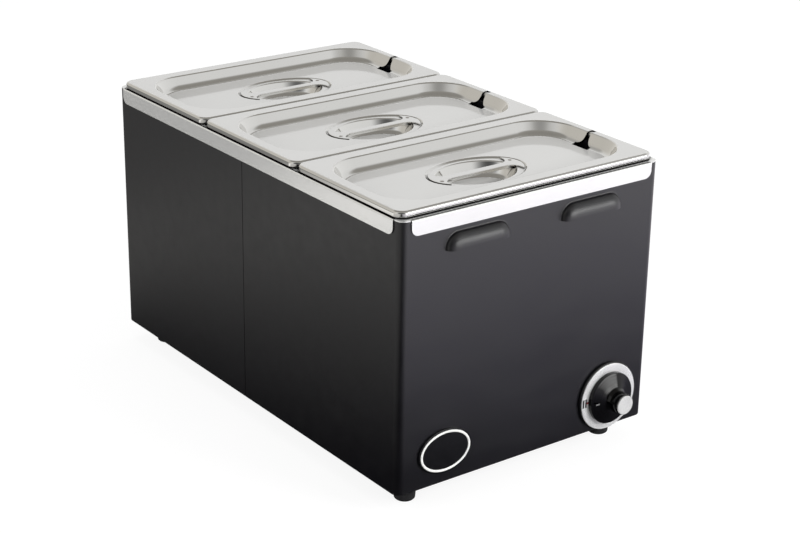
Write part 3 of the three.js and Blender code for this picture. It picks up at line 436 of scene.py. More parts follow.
def bent_section(corners):
    """A section given by its corners, each rounded by its bend radius."""
    section = []
    for i, corner in enumerate(corners):
        if not corner.bend:
            section.append(corner)
            continue
        here = section_point(corner)
        before = section_point(corners[i - 1]) if i else Vector((0, corner.z))
        arriving = direction(here - before)
        turn = turn_between(arriving, direction(section_point(corners[i + 1]) - here))
        side = math.copysign(1, turn)
        tangent = corner.bend * math.tan(abs(turn) / 2)
        centre_x = -tangent * math.cos(arriving) - side * corner.bend * math.sin(arriving)
        centre_z = -tangent * math.sin(arriving) + side * corner.bend * math.cos(arriving)
        for step in range(BEND_STEPS + 1):
            angle = arriving + turn * step / BEND_STEPS
            spread = corner.spread + centre_x + side * corner.bend * math.sin(angle)
            z = corner.z + centre_z - side * corner.bend * math.cos(angle)
            section.append(Corner(corner.outline, spread, z))
    return section


def underside(section, sheet):
    """The section's under side, one sheet thickness away."""
    under = []
    for i, point in enumerate(section):
        here = section_point(point)
        before = section_point(section[i - 1]) if i else Vector((0, point.z))
        arriving = (here - before).normalized()
        leaving = arriving
        if i < len(section) - 1:
            leaving = (section_point(section[i + 1]) - here).normalized()
        scale = sheet / (1 + arriving.dot(leaving))
        spread = point.spread + scale * (arriving.y + leaving.y)
        z = point.z - scale * (arriving.x + leaving.x)
        under.append(Corner(point.outline, spread, z))
    return under


def pressed_sheet(corners, sheet):
    """A drawn sheet that goes through the corners, closed in its middle."""
    section = bent_section(corners)
    rings = [*section, *reversed(underside(section, sheet))]
    return capped([ring_points(r.outline, r.spread, r.z) for r in rings])


# Blender objects


def mesh_of(name, part):
    """A closed mesh, with its faces pointing out of it."""
    points, faces = part
    mesh = bpy.data.meshes.new(name)
    mesh.from_pydata([p * MM for p in points], [], faces)
    mesh.update()
    volume = 0
    for face in mesh.polygons:
        corners = [mesh.vertices[i].co for i in face.vertices]
        for k in range(1, len(corners) - 1):
            volume += corners[0].dot(corners[k].cross(corners[k + 1]))
    if volume < 0:
        mesh.flip_normals()
    return mesh


def placed(name, data):
    """A new object in the scene."""
    made = bpy.data.objects.new(name, data)
    bpy.context.collection.objects.link(made)
    return made


def cut(mesh, *cutters):
    """The mesh less its cutters, by an exact boolean."""
    body = placed("cut_body", mesh)
    tools = []
    for cutter in cutters:
        tool = placed("cut_tool", mesh_of("cut_tool", cutter))
        modifier = body.modifiers.new("cut", "BOOLEAN")
        modifier.operation = "DIFFERENCE"
        modifier.solver = "EXACT"
        modifier.object = tool
        tools.append(tool)
    bpy.context.view_layer.update()
    evaluated = body.evaluated_get(bpy.context.evaluated_depsgraph_get())
    result = bpy.data.meshes.new_from_object(evaluated)
    for made in (body, *tools):
        old = made.data
        bpy.data.objects.remove(made)
        bpy.data.meshes.remove(old)
    return result


def smooth(mesh, angle=SMOOTH_ANGLE):
    mesh.shade_smooth()
    mesh.set_sharp_from_angle(angle=math.radians(angle))
    return mesh


def add(name, mesh, material, body, slot, *nodes, at=None):
    """A piece that rides on a body, takes the given material and stands for CAD nodes; its slot is not
    used.
    """
    if not mesh.materials:
        mesh.materials.append(material)
    piece = placed(name, mesh)
    if at:
        piece.location = Vector(at) * MM
    weighted = piece.modifiers.new("weighted_normals", "WEIGHTED_NORMAL")
    weighted.keep_sharp = True
    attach(piece, body)
    if nodes:
        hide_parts(*nodes)
    return piece


def drawn(name, mesh, body, slot, node, at=None):
    """A piece with its slot's own look that stands for one CAD node."""
    return add(name, mesh, LOOKS[slot], body, slot, node, at=at)


def solid(name, part):
    return smooth(mesh_of(name, part))


# Materials

NOISE_ROUGHNESS = 0.55
GAP_SHADE_OPEN = 0.85  # from this openness on, no painted gap shade darkens a surface
FLAT_RANGE = (0.97, 0.998)  # how upright a normal is where a face begins to count as level, and does
FLAT_SHADE_TONE = 0.70  # a level face's colour is taken down towards this share of itself: painted shade by facing


def feed(tree, value, end):
    """Gives an input a number or another node's output."""
    if isinstance(value, (int, float)):
        end.default_value = value
    else:
        tree.links.new(value, end)


def math_node(tree, operation, first, second):
    """One sum; either side is an output or a number."""
    step = tree.nodes.new("ShaderNodeMath")
    step.operation = operation
    feed(tree, first, step.inputs[0])
    feed(tree, second, step.inputs[1])
    return step.outputs[0]


def product(tree, value, *shares):
    for share in shares:
        value = math_node(tree, "MULTIPLY", value, share)
    return value


def along(tree, vector, way):
    """How far a vector goes along a fixed way."""
    dot = tree.nodes.new("ShaderNodeVectorMath")
    dot.operation = "DOT_PRODUCT"
    dot.inputs[1].default_value = way
    tree.links.new(vector, dot.inputs[0])
    return dot.outputs["Value"]


def eased(tree, value, start, end, low, high, kind="SMOOTHSTEP"):
    """A step from low at start to high at end."""
    change = tree.nodes.new("ShaderNodeMapRange")
    change.interpolation_type = kind
    for name, number in (("From Min", start), ("From Max", end), ("To Min", low), ("To Max", high)):
        change.inputs[name].default_value = number
    tree.links.new(value, change.inputs["Value"])
    return change.outputs["Result"]


class Look:
    """A node material under way, with its Principled shader."""

    def __init__(self, color, metallic, roughness):
        self.material = bpy.data.materials.new("look")
        self.material.use_nodes = True
        self.tree = self.material.node_tree
        self.shader = self.tree.nodes["Principled BSDF"]
        self.shader.inputs["Base Color"].default_value = (*color, 1)
        self.shader.inputs["Metallic"].default_value = metallic
        self.shader.inputs["Roughness"].default_value = roughness
        self.place = self.tree.nodes.new("ShaderNodeTexCoord").outputs["Object"]
        self.height = None

    def link(self, start, end):
        self.tree.links.new(start, end)

    def node(self, kind, **values):
        made = self.tree.nodes.new(kind)
        for name, value in values.items():
            setattr(made, name, value)
        return made

    def mapped(self, way, values):
        """Places on the object, moved or scaled."""
        mapping = self.node("ShaderNodeMapping")
        mapping.inputs[way].default_value = values
        self.link(self.place, mapping.inputs["Vector"])
        return mapping.outputs["Vector"]

    def noise(self, scale, stretch=(1, 1, 1), detail=3.0):
        """Noise with so many features per metre along each axis."""
        noise = self.node("ShaderNodeTexNoise")
        noise.inputs["Scale"].default_value = 1
        noise.inputs["Detail"].default_value = detail
        noise.inputs["Roughness"].default_value = NOISE_ROUGHNESS
        self.link(self.mapped("Scale", [scale * s for s in stretch]), noise.inputs["Vector"])
        return noise.outputs["Fac"]

    def spread(self, value, low, high, start=0.3, end=0.7):
        """A value between start and end brought to the range from low to high."""
        return eased(self.tree, value, start, end, low, high, "LINEAR")

    def roughness(self, value, low, high):
        self.link(self.spread(value, low, high), self.shader.inputs["Roughness"])

    def color(self, value, color, low, high):
        """The colour, from low to high times as bright."""
        ramp = self.node("ShaderNodeValToRGB")
        for element, place, share in zip(ramp.color_ramp.elements, (0.3, 0.7), (low, high)):
            element.position = place
            element.color = (*[c * share for c in color], 1)
        self.link(value, ramp.inputs["Fac"])
        self.link(ramp.outputs["Color"], self.shader.inputs["Base Color"])

    def multiply(self, share, tone):
        """Takes the colour down to so much of itself, by a share."""
        darker = self.node("ShaderNodeMixRGB", blend_type="MULTIPLY")
        base = self.shader.inputs["Base Color"].links[0].from_socket
        self.link(share, darker.inputs["Fac"])
        self.link(base, darker.inputs[1])
        darker.inputs[2].default_value = (tone, tone, tone, 1)
        self.link(darker.outputs["Color"], self.shader.inputs["Base Color"])

    def painted_gap_shade(self, reach, darkest, closed):
        """Paints shade into gaps within so many millimetres, darkest where only so much of the room is
        open.
        """
        openness = self.node("ShaderNodeAmbientOcclusion", samples=8)
        openness.inputs["Distance"].default_value = reach * MM
        gap_shade_share = self.spread(openness.outputs["AO"], 1, 0, closed, GAP_SHADE_OPEN)
        self.multiply(gap_shade_share, darkest)

    def matt_flats_painted_shade(self, share):
        """Makes level faces matt and paints them darker by how upright they are, a painted shade, with
        the bends left bright.
        """
        level = along(self.tree, self.node("ShaderNodeNewGeometry").outputs["Normal"], (0, 0, 1))
        flat_shade = eased(self.tree, level, *FLAT_RANGE, 0, share)
        self.link(math_node(self.tree, "SUBTRACT", 1, flat_shade), self.shader.inputs["Metallic"])
        self.multiply(flat_shade, FLAT_SHADE_TONE)

    def bump(self, value, depth):
        """Relief so many millimetres deep, over what is there already."""
        bump = self.node("ShaderNodeBump")
        bump.inputs["Distance"].default_value = depth * MM
        bump.inputs["Strength"].default_value = 1
        self.link(value, bump.inputs["Height"])
        if self.height:
            self.link(self.height, bump.inputs["Normal"])
        self.height = bump.outputs["Normal"]
        self.link(self.height, self.shader.inputs["Normal"])


def steel(color, rough, brush=(1, 12, 12), wave=0.25, metallic=1.0, satin=0,
          gaps=0, darkest=0.004, closed=0.55):
    """Bright sheet steel with fine brushing, faint waves, uneven polish, painted shade in its gaps, and
    matt flats with painted shade by facing.
    """
    look = Look(color, metallic, rough)
    streaks = look.noise(260, brush, detail=5)
    cloud = look.noise(9, detail=2)
    look.color(cloud, color, 0.98, 1.02)
    # painted shade: gaps darkened by how closed in they are
    if gaps:
        look.painted_gap_shade(gaps, darkest, closed)
    look.roughness(streaks, rough * 0.75, rough * 1.3)
    # painted shade: level faces made matt and darker by facing
    if satin:
        look.matt_flats_painted_shade(satin)
    look.bump(look.noise(11, detail=1), wave)
    look.bump(streaks, 0.0035)
    return look.material


def coat(color, rough, grain=0.02, shine=0.8):
    """Baked coating with a fine grain."""
    look = Look(color, 0.0, rough)
    look.shader.inputs["Specular IOR Level"].default_value = shine
    fine = look.noise(1500, detail=2)
    look.color(look.noise(14, detail=4), color, 0.9, 1.12)
    look.roughness(look.noise(60, (0.3, 1, 1), detail=4), rough * 0.9, rough * 1.12)
    look.bump(look.noise(5, detail=1), 0.25)
    look.bump(fine, grain)
    return look.material


def plastic(color, rough, grain=0.004):
    """Moulded plastic with faint flow marks and handling wear."""
    look = Look(color, 0.0, rough)
    look.color(look.noise(40, detail=3), color, 0.85, 1.15)
    look.roughness(look.noise(160, detail=5), rough * 0.7, rough * 1.35)
    look.bump(look.noise(700, detail=3), grain)
    return look.material


def rubber():
    """Matt black rubber with a grain and dusty patches."""
    color = (0.012, 0.012, 0.013)
    look = Look(color, 0.0, 0.75)
    look.color(look.noise(220, detail=6), color, 1, 2.2)
    look.roughness(look.noise(300, detail=4), 0.6, 0.85)
    look.bump(look.noise(1100, detail=3), 0.03)
    return look.material


def zinc(color):
    """Plated or galvanised metal with mottled spangle."""
    look = Look(color, 1.0, 0.4)
    mottle = look.noise(130, detail=5)
    look.color(mottle, color, 0.75, 1.15)
    look.roughness(mottle, 0.32, 0.5)
    look.bump(look.noise(500, detail=3), 0.01)
    return look.material


def spun(color, rough, metallic, rings_across=420, depth=0.004, shine=0.5):
    """Metal or plastic with fine rings turned about the dial's axis."""
    look = Look(color, metallic, rough)
    look.shader.inputs["Specular IOR Level"].default_value = shine
    from_axis = look.mapped("Location", (-DIAL_X * MM, 0, -DIAL_Z * MM))
    rings = look.node("ShaderNodeTexWave", wave_type="RINGS", rings_direction="Y")
    rings.inputs["Scale"].default_value = rings_across
    rings.inputs["Distortion"].default_value = 1.2
    rings.inputs["Detail"].default_value = 4
    look.link(from_axis, rings.inputs["Vector"])
    look.color(look.noise(60, detail=4), color, 0.93, 1.04)
    look.roughness(rings.outputs["Fac"], rough * 0.75, rough * 1.3)
    look.bump(rings.outputs["Fac"], depth)
    return look.material


LOOKS = {
    "black_coat": coat((0.0030, 0.0028, 0.0045), 0.36),
    "galvanised_sheet": zinc((0.52, 0.53, 0.54)),
    "foot_rubber": rubber(),
    "zinc_plate": zinc((0.60, 0.60, 0.56)),
    # tank, pan and lid steel carry painted shade in their gaps
    "tank_steel": steel((0.85, 0.85, 0.84), 0.2, (0.4, 10, 10), 0.1, 0.7, gaps=5),
    "pan_steel": steel((0.72, 0.72, 0.70), 0.28, gaps=16),
    # the lid steel's level faces also get painted shade by facing
    "lid_steel": steel((0.77, 0.765, 0.75), 0.07, wave=0.12, satin=0.9,
                       gaps=8, darkest=0.15, closed=0.4),
    "dial_black": plastic((0.004, 0.004, 0.0045), 0.2),
    "dial_silver": spun((0.92, 0.92, 0.92), 0.35, 0.5),
    "knob_black": spun((0.0006, 0.0006, 0.0008), 0.07, 0.0, 150, 0.03, 0.3),
    "cap_silver": spun((0.68, 0.68, 0.675), 0.35, 0.3),
    "cream_plastic": plastic((0.72, 0.66, 0.50), 0.45),
    "badge_black": plastic((0.006, 0.006, 0.007), 0.2),
    "badge_white": plastic((0.86, 0.86, 0.84), 0.3),
    "heater_sheath": zinc((0.20, 0.17, 0.15)),
    "gland_black": plastic((0.018, 0.018, 0.019), 0.45),
    "bulb_copper": zinc((0.72, 0.38, 0.24)),
    "earth_brass": zinc((0.72, 0.56, 0.26)),
    "print_black": plastic((0.004, 0.004, 0.004), 0.6),
    "print_red": plastic((0.22, 0.01, 0.01), 0.5),
    "print_grey": plastic((0.13, 0.13, 0.13), 0.45),
    "weld_mark": steel((0.30, 0.27, 0.24), 0.4),
}
for name, material in LOOKS.items():
    material.name = name


# Wraps


def facing(out_y, x, z):
    """Frame on the front (out_y -1) or back face: x along it, y up, z out of it."""
    face_y = FRONT_Y if out_y < 0 else BACK_Y
    return standing((x, face_y, z), (-out_y, 0, 0), (0, 0, 1), (0, out_y, 0))


def louvre_outline(spread):
    """Arch from the mouth on the left, over the top, to the mouth on the right."""
    half = LOUVRE_LENGTH / 2 - LOUVRE_ROLLOVER + spread
    top = LOUVRE_HEIGHT - LOUVRE_ROLLOVER + spread
    bend = LOUVRE_FACE_ROUND + spread
    points = [(-half, 0)]
    for side, first in ((-1, math.pi), (1, math.pi / 2)):
        for turn in quarter(LOUVRE_CORNER_STEPS):
            angle = first - turn
            x = side * (half - bend) + bend * math.cos(angle)
            points.append((x, top - bend + bend * math.sin(angle)))
    points.append((half, 0))
    return points


def louvre_skin(rollover, reach, foot):
    """Arches from the flat face back to the sheet, as (spread, height) pairs."""
    dome = reach - LOUVRE_STAND
    angles = quarter(LOUVRE_SKIN_STEPS)
    return [(rollover * math.sin(a), LOUVRE_STAND + dome * math.cos(a)) for a in angles] + foot


def louvre_hood():
    """Pressed hood, open at its mouth, with a soft root on the sheet."""
    root = []
    for angle in quarter(LOUVRE_ROOT_STEPS)[1:]:
        spread = LOUVRE_ROLLOVER + LOUVRE_ROOT * (1 - math.cos(angle))
        root.append((spread, LIFT + (LOUVRE_STAND - LIFT) * (1 - math.sin(angle))))
    outer = louvre_skin(LOUVRE_ROLLOVER, LOUVRE_REACH, root)
    sheet_end = [(LOUVRE_ROLLOVER - WRAP_SHEET, -WRAP_SHEET)] * len(root)
    inner = louvre_skin(LOUVRE_ROLLOVER - WRAP_SHEET, LOUVRE_REACH - WRAP_SHEET, sheet_end)
    points, faces, starts = [], [], []
    for skin in (outer, inner):
        starts.append(len(points))
        for spread, height in skin:
            points += [Vector((x, y, height)) for x, y in louvre_outline(spread)]
    width = len(louvre_outline(0))
    for start, sign in zip(starts, (1, -1)):
        faces.append([start + j for j in range(width)][::-sign])
        for i in range(len(outer) - 1):
            for j in range(width - 1):
                a, b = start + i * width + j, start + (i + 1) * width + j
                faces.append([a, b, b + 1, a + 1][::sign])
    for end in (0, width - 1):
        sign = 1 if end else -1
        for i in range(len(outer) - 1):
            a, b = starts[0] + i * width + end, starts[1] + i * width + end
            faces.append([a, a + width, b + width, b][::sign])
    a, b = starts
    faces.append([a, b, b + width - 1, a + width - 1])
    return points, faces


def louvre_cutter():
    return prism(louvre_outline(LOUVRE_ROLLOVER - WRAP_SHEET), -2 * WRAP_SHEET, LIFT / 2)


def wrap_shell(side):
    """Half of the casing's wall with its bottom lip, from the seam round one end."""
    half_x, half_y = CASING_WIDTH / 2, CASING_LENGTH / 2
    seam = SEAM_PLACE - MIDDLE_Y + side * SEAM_GAP / 2
    path = [(Vector((half_x, seam)), Vector((1, 0)))]
    for sign_x, first in ((1, 0), (-1, 90)):
        centre = Vector((sign_x * (half_x - CASING_ROUND), half_y - CASING_ROUND))
        for step in range(CORNER_POINTS):
            angle = math.radians(first + 90 * step / (CORNER_POINTS - 1))
            out = Vector((math.cos(angle), math.sin(angle)))
            path.append((centre + out * CASING_ROUND, out))
    path.append((Vector((-half_x, seam)), Vector((-1, 0))))
    path[1:-1] = [(Vector((p.x, side * p.y)), Vector((n.x, side * n.y))) for p, n in path[1:-1]]
    section = rounded([
        (0, CASING_TOP, SEAM_EDGE),
        (0, CASING_LOW, CASING_FOOT_BEND),
        (BOTTOM_LIP, CASING_LOW, 0),
        (BOTTOM_LIP, CASING_LOW + WRAP_SHEET, 0),
        (WRAP_SHEET, CASING_LOW + WRAP_SHEET, 0),
        (WRAP_SHEET, CASING_TOP, SEAM_EDGE),
    ], steps=4)
    lip_x, lip_y = half_x - BOTTOM_LIP, half_y - BOTTOM_LIP
    rings = []
    for place, out in path:
        ring = []
        for depth, z in section:
            x, y = place - out * min(depth, WRAP_SHEET)
            if depth > WRAP_SHEET:
                x = max(-lip_x, min(lip_x, x))
                y = max(-lip_y, min(lip_y, y))
            ring.append(Vector((x, y + MIDDLE_Y, z)))
        rings.append(ring)
    return capped(rings)


def add_wraps():
    for name, side in (("front_wrap", -1), ("rear_wrap", 1)):
        frames = [facing(side, x, LOUVRE_MOUTH) for x in (-LOUVRE_SPACING / 2, LOUVRE_SPACING / 2)]
        shell = mesh_of(name, wrap_shell(side))
        shell = cut(shell, *[moved(louvre_cutter(), f) for f in frames])
        hoods = [mesh_of("hood", moved(louvre_hood(), f)) for f in frames]
        mesh = merged(name, shell, *hoods)
        drawn(name + "_coated", smooth(mesh), "casing", "black_coat", name)


def merged(name, *meshes):
    """One mesh from several, each left as it is."""
    points, faces = [], []
    for mesh in meshes:
        start = len(points)
        points += [v.co.copy() for v in mesh.vertices]
        faces += [[start + i for i in face.vertices] for face in mesh.polygons]
    made = bpy.data.meshes.new(name)
    made.from_pydata(points, [], faces)
    made.update()
    return made


# Tank


def trim_tab(out, reach, length):
    """A tab bent down over one side of the casing, with rounded lower corners."""
    across = Vector((-out.y, out.x, 0))
    top = FLANGE_TOP
    columns = []
    for end in (-1, 1):
        for angle in quarter(BEND_STEPS * 2):
            inset = TAB_ROUND * (1 - math.cos(angle))
            drop = TAB_DROP - TAB_ROUND * (1 - math.sin(angle))
            columns.append((end * (length / 2 - inset), drop))
    columns.sort()
    outer, inner = [
        [(radius * math.sin(a), top - TRIM_STANDOFF + radius * math.cos(a)) for a in quarter(BEND_STEPS)]
        for radius in (TRIM_STANDOFF, CLEAR)
    ]
    rings = []
    for place, drop in columns:
        section = [(-TAB_ROOT, top), *outer, (TRIM_STANDOFF, top - drop)]
        section += [(CLEAR, top - drop), *inner[::-1], (-TAB_ROOT, top - TANK_SHEET)]
        ring = []
        for depth, z in section:
            spot = out * (reach + depth) + across * place
            ring.append(Vector((spot.x, spot.y + MIDDLE_Y, z)))
        rings.append(ring)
    return capped(rings)


def add_tank():
    well = Outline(WELL_WIDTH / 2, WELL_LENGTH / 2, WELL_ROUND)
    flange = Outline(CASING_WIDTH / 2, CASING_LENGTH / 2, CASING_ROUND)
    sheet = pressed_sheet([
        Corner(well, 0, FLANGE_TOP - WELL_DEPTH, WELL_FLOOR_BEND),
        Corner(well, 0, FLANGE_TOP, WELL_RIM_BEND),
        Corner(flange, 0, FLANGE_TOP),
    ], TANK_SHEET)
    parts = [moved(sheet, Matrix.Translation((0, MIDDLE_Y, 0)))]
    for side in (-1, 1):
        parts.append(trim_tab(Vector((0, side, 0)), CASING_LENGTH / 2, TRIM_WIDTH - 2 * TAB_INSET))
        parts.append(trim_tab(Vector((side, 0, 0)), CASING_WIDTH / 2, TRIM_LENGTH - 2 * TAB_INSET))
        root = FLANGE_TOP - WELL_DEPTH - TANK_SHEET
        tip = root - STUD_LENGTH
        stud = lathe([(0, tip), (STUD_RADIUS, tip), (STUD_RADIUS, root), (0, root)], STUD_SIDES)
        parts.append(moved(stud, Matrix.Translation((side * STUD_SPACING / 2, MIDDLE_Y, 0))))
    meshes = [mesh_of("tank_part", part) for part in parts]
    drawn("tank_formed", smooth(merged("tank", *meshes)), "casing", "tank_steel", "tank")


# Pans, lids and handles


def pan_mesh():
    fit = LID_SHEET + LID_FIT
    half_x, half_y = LID_LENGTH / 2 - fit, LID_WIDTH / 2 - fit
    rim = Outline(half_x, half_y, LID_ROUND - fit)
    body = Outline(half_x - PAN_RIM_WIDTH, half_y - PAN_RIM_WIDTH, PAN_ROUND)
    top = FLANGE_TOP + CLEAR + PAN_RIM_HEIGHT
    return solid("pan", pressed_sheet([
        Corner(body, -PAN_TAPER, top - PAN_DEPTH, PAN_FLOOR_BEND),
        Corner(body, 0, top, PAN_LIP_BEND),
        Corner(rim, 0, top, PAN_RIM_BEND),
        Corner(rim, 0, FLANGE_TOP + CLEAR),
    ], PAN_SHEET))


def notch_outline():
    """Bell seen from the front: a slot that flares to the recess floor."""
    bottom = RECESS_FLOOR - 2 * LID_SHEET
    slot, flare = NOTCH_SLOT / 2, NOTCH_FLARE / 2
    curve = []
    for step in range(NOTCH_STEPS + 1):
        t = step / NOTCH_STEPS
        y = (1 - t) ** 2 * flare + 2 * t * (1 - t) * slot + t * t * slot
        curve.append((y, RECESS_FLOOR + NOTCH_FOOT + t * t * NOTCH_FLARE_RISE))
    right = [(flare, bottom), *curve, (slot, LID_TOP + 1)]
    return right + [(-y, z) for y, z in reversed(right)]


def notch_cutter():
    wall_foot = LID_LENGTH / 2 - RECESS_MARGIN_RIGHT - RECESS_RUN
    outer = LID_LENGTH / 2 - NOTCH_EDGE_MARGIN
    stand = Matrix(((0, 0, 1, 0), (1, 0, 0, 0), (0, 1, 0, 0), (0, 0, 0, 1)))
    return moved(prism(notch_outline(), wall_foot - NOTCH_FLOOR_REACH, outer), stand)


def lid_mesh():
    flange = Outline(LID_LENGTH / 2, LID_WIDTH / 2, LID_ROUND)
    margins = RECESS_MARGIN_LEFT + RECESS_MARGIN_RIGHT
    recess = Outline(
        (LID_LENGTH - margins) / 2,
        LID_WIDTH / 2 - RECESS_MARGIN_SIDE,
        RECESS_ROUND,
        (RECESS_MARGIN_LEFT - RECESS_MARGIN_RIGHT) / 2,
    )
    dish = Outline(DISH_LENGTH / 2, DISH_WIDTH / 2, oval=True)
    bowl = Outline(BOWL_LENGTH / 2, BOWL_WIDTH / 2, oval=True)
    sheet = pressed_sheet([
        Corner(bowl, -BOWL_RUN, LEDGE_TOP - BOWL_DEPTH, BOWL_FLOOR_BEND),
        Corner(bowl, 0, LEDGE_TOP, BOWL_RIM_BEND),
        Corner(dish, -LEDGE_RUN, LEDGE_TOP, LEDGE_BEND),
        Corner(dish, 0, RECESS_FLOOR, LEDGE_BEND),
        Corner(recess, -RECESS_RUN, RECESS_FLOOR, RECESS_FLOOR_BEND),
        Corner(recess, 0, LID_TOP, RECESS_RIM_BEND),
        Corner(flange, 0, LID_TOP, LID_SKIRT_BEND),
        Corner(flange, 0, LID_TOP - LID_SKIRT),
    ], LID_SHEET)
    return smooth(cut(mesh_of("lid", sheet), notch_cutter()), LID_SMOOTH_ANGLE)


def strap_outline():
    """Oval end plates joined by a strap, with soft inner corners."""
    half_x, half_y = DISH_LENGTH / 2 - STRAP_MARGIN, DISH_WIDTH / 2 - STRAP_MARGIN
    inner = STRAP_SPAN / 2
    widest = math.acos(inner / half_x)
    outline = []
    for side in (1, -1):
        outline.append((side * inner, -side * STRAP_WIDTH / 2, STRAP_CORNER))
        for step in range(STRAP_ARC_STEPS + 1):
            angle = widest * (2 * step / STRAP_ARC_STEPS - 1)
            outline.append((side * half_x * math.cos(angle), side * half_y * math.sin(angle), 0))
        outline.append((side * inner, side * STRAP_WIDTH / 2, STRAP_CORNER))
    return rounded(outline)


def strap_mesh():
    low = LEDGE_TOP + CLEAR
    parts = [prism(strap_outline(), low, low + STRAP_SHEET)]
    length = STRAP_SPAN / 2 - STRAP_FOLD_INSET
    for side in (-1, 1):
        fold = rounded([
            (-length, low - STRAP_EDGE_DROP, STRAP_FOLD_BEND),
            (length, low - STRAP_EDGE_DROP, STRAP_FOLD_BEND),
            (length, low + STRAP_SHEET / 2, 0),
            (-length, low + STRAP_SHEET / 2, 0),
        ])
        sides = side * STRAP_WIDTH / 2, side * (STRAP_WIDTH / 2 - STRAP_SHEET)
        parts.append(capped([[Vector((x, y, z)) for x, z in fold] for y in sides]))
    meshes = [mesh_of("strap_part", part) for part in parts]
    return smooth(merged("lid_handle", *meshes))


def weld_spot_mesh():
    """A small pressed ring where the plate is spot welded."""
    top = LEDGE_TOP + CLEAR + STRAP_SHEET
    r = WELD_SPOT_RADIUS
    profile = [(0, top - LIFT), (r, top - LIFT), (r, top + LIFT), (r * 0.8, top + 3 * LIFT),
               (r * 0.6, top + 2 * LIFT), (r * 0.3, top + LIFT / 2), (0, top + LIFT / 2)]
    return solid("weld_spot", lathe(profile, WELD_SPOT_SIDES))


def add_pans_and_lids():
    pan, lid, strap, spot = pan_mesh(), lid_mesh(), strap_mesh(), weld_spot_mesh()
    tip = DISH_LENGTH / 2 - STRAP_MARGIN - WELD_SPOT_INSET
    for i, y in enumerate(LID_PLACES, 1):
        at = (0, y, 0)
        drawn(f"pan_drawn_{i}", pan, f"pan_{i}", "pan_steel", f"pan_{i}", at)
        drawn(f"lid_drawn_{i}", lid, f"lid_{i}", "lid_steel", f"lid_{i}", at)
        handle = drawn(f"strap_{i}", strap, f"lid_{i}", "lid_steel", f"lid_handle_{i}", at)
        edge = handle.modifiers.new("edges", "BEVEL")
        edge.width = STRAP_BEVEL * MM
        edge.segments = 2
        for side, name in ((-1, "left"), (1, "right")):
            spot_at = (side * tip, y + side * WELD_SPOT_ASIDE, 0)
            add(f"weld_spot_{name}_{i}", spot, LOOKS["weld_mark"], f"lid_{i}", "lid_steel", at=spot_at)


# Dial, knob and badge


def disc(bore, radius, low, high, bend, bore_bend=0):
    """A turned ring or disc with a rounded front edge."""
    corners = (bore, low, 0), (radius, low, 0), (radius, high, bend), (bore, high, bore_bend)
    return lathe(rounded(corners))


def add_dial():
    face = facing(-1, DIAL_X, DIAL_Z)
    back_front = CLEAR + DIAL_BACK_THICKNESS
    ring_back = back_front + CLEAR
    ring_front = ring_back + RING_THICKNESS
    knob_back = ring_front + KNOB_CLEARANCE
    knob_tip = knob_back + KNOB_LENGTH

    back = disc(DIAL_BORE, DIAL_BACK_RADIUS, CLEAR, back_front, DIAL_BACK_BEND)
    drawn("dial_seat", solid("dial_seat", moved(back, face)), "casing", "dial_black", "dial_back")
    ring = disc(RING_BORE, RING_RADIUS, ring_back, ring_front, RING_OUTER_BEND, RING_INNER_BEND)
    drawn("dial_plate", solid("dial_plate", moved(ring, face)), "casing", "dial_silver", "dial_ring")

    edge = knob_back + KNOB_EDGE
    outer = [
        (0, knob_back, 0),
        (KNOB_RADIUS, knob_back, KNOB_BACK_BEND),
        (KNOB_RADIUS, edge, KNOB_EDGE_BEND),
    ]
    for step in range(1, KNOB_STEPS + 1):
        radius = KNOB_RADIUS - step * KNOB_TREAD
        tread = edge + (step - 1) * KNOB_STEP + KNOB_TREAD_RISE
        outer.append((radius, tread, KNOB_STEP_BEND))
        outer.append((radius, edge + step * KNOB_STEP, KNOB_STEP_BEND))
    top = edge + KNOB_STEPS * KNOB_STEP
    outer.append((KNOB_STEM_ROOT, top + KNOB_STEM_FOOT, KNOB_ROOT_BEND))
    outer.append((KNOB_STEM_TIP, top + KNOB_STEM_RISE, KNOB_NECK_BEND))
    outer.append((KNOB_STEM_TIP, knob_tip, KNOB_TIP_BEND))
    outer.append((0, knob_tip, 0))
    knob = lathe(rounded(outer))
    drawn("knob_turned", solid("knob", moved(knob, face)), "knob", "knob_black", "knob")

    cap_back = knob_tip + CLEAR
    cap = disc(0, CAP_RADIUS, cap_back, cap_back + CAP_THICKNESS, CAP_BEND)
    drawn("cap", solid("cap", moved(cap, face)), "knob", "cap_silver", "knob_cap")

    def bar(name, length, width, x, z, look, body, slot):
        outline = rounded([(x + a * length / 2, b * width / 2, MARK_BEND) for a, b in SQUARE])
        add(name, solid(name, moved(prism(outline, z, z + LIFT), face)), LOOKS[look], body, slot)

    middle = RING_RADIUS - MARK_MARGIN - (MARK_SPACING + MARK_WIDTH) / 2
    red = (MARK_SPACING + MARK_WIDTH + MARK_RED_LENGTH) / 2
    marks = (
        ("off", MARK_WIDTH, MARK_HEIGHT, -middle - MARK_SPACING / 2, "print_black"),
        ("start", MARK_WIDTH, MARK_HEIGHT, -middle + MARK_SPACING / 2, "print_black"),
        ("red", MARK_RED_LENGTH, MARK_WIDTH, -middle + red, "print_red"),
    )
    for mark, length, width, x, look in marks:
        bar("dial_mark_" + mark, length, width, x, ring_front, look, "casing", "dial_silver")
    pointer_x = POINTER_LENGTH / 2 - (KNOB_RADIUS - KNOB_TREAD)
    bar("pointer", POINTER_LENGTH, POINTER_WIDTH, pointer_x, top, "print_grey", "knob", "knob_black")


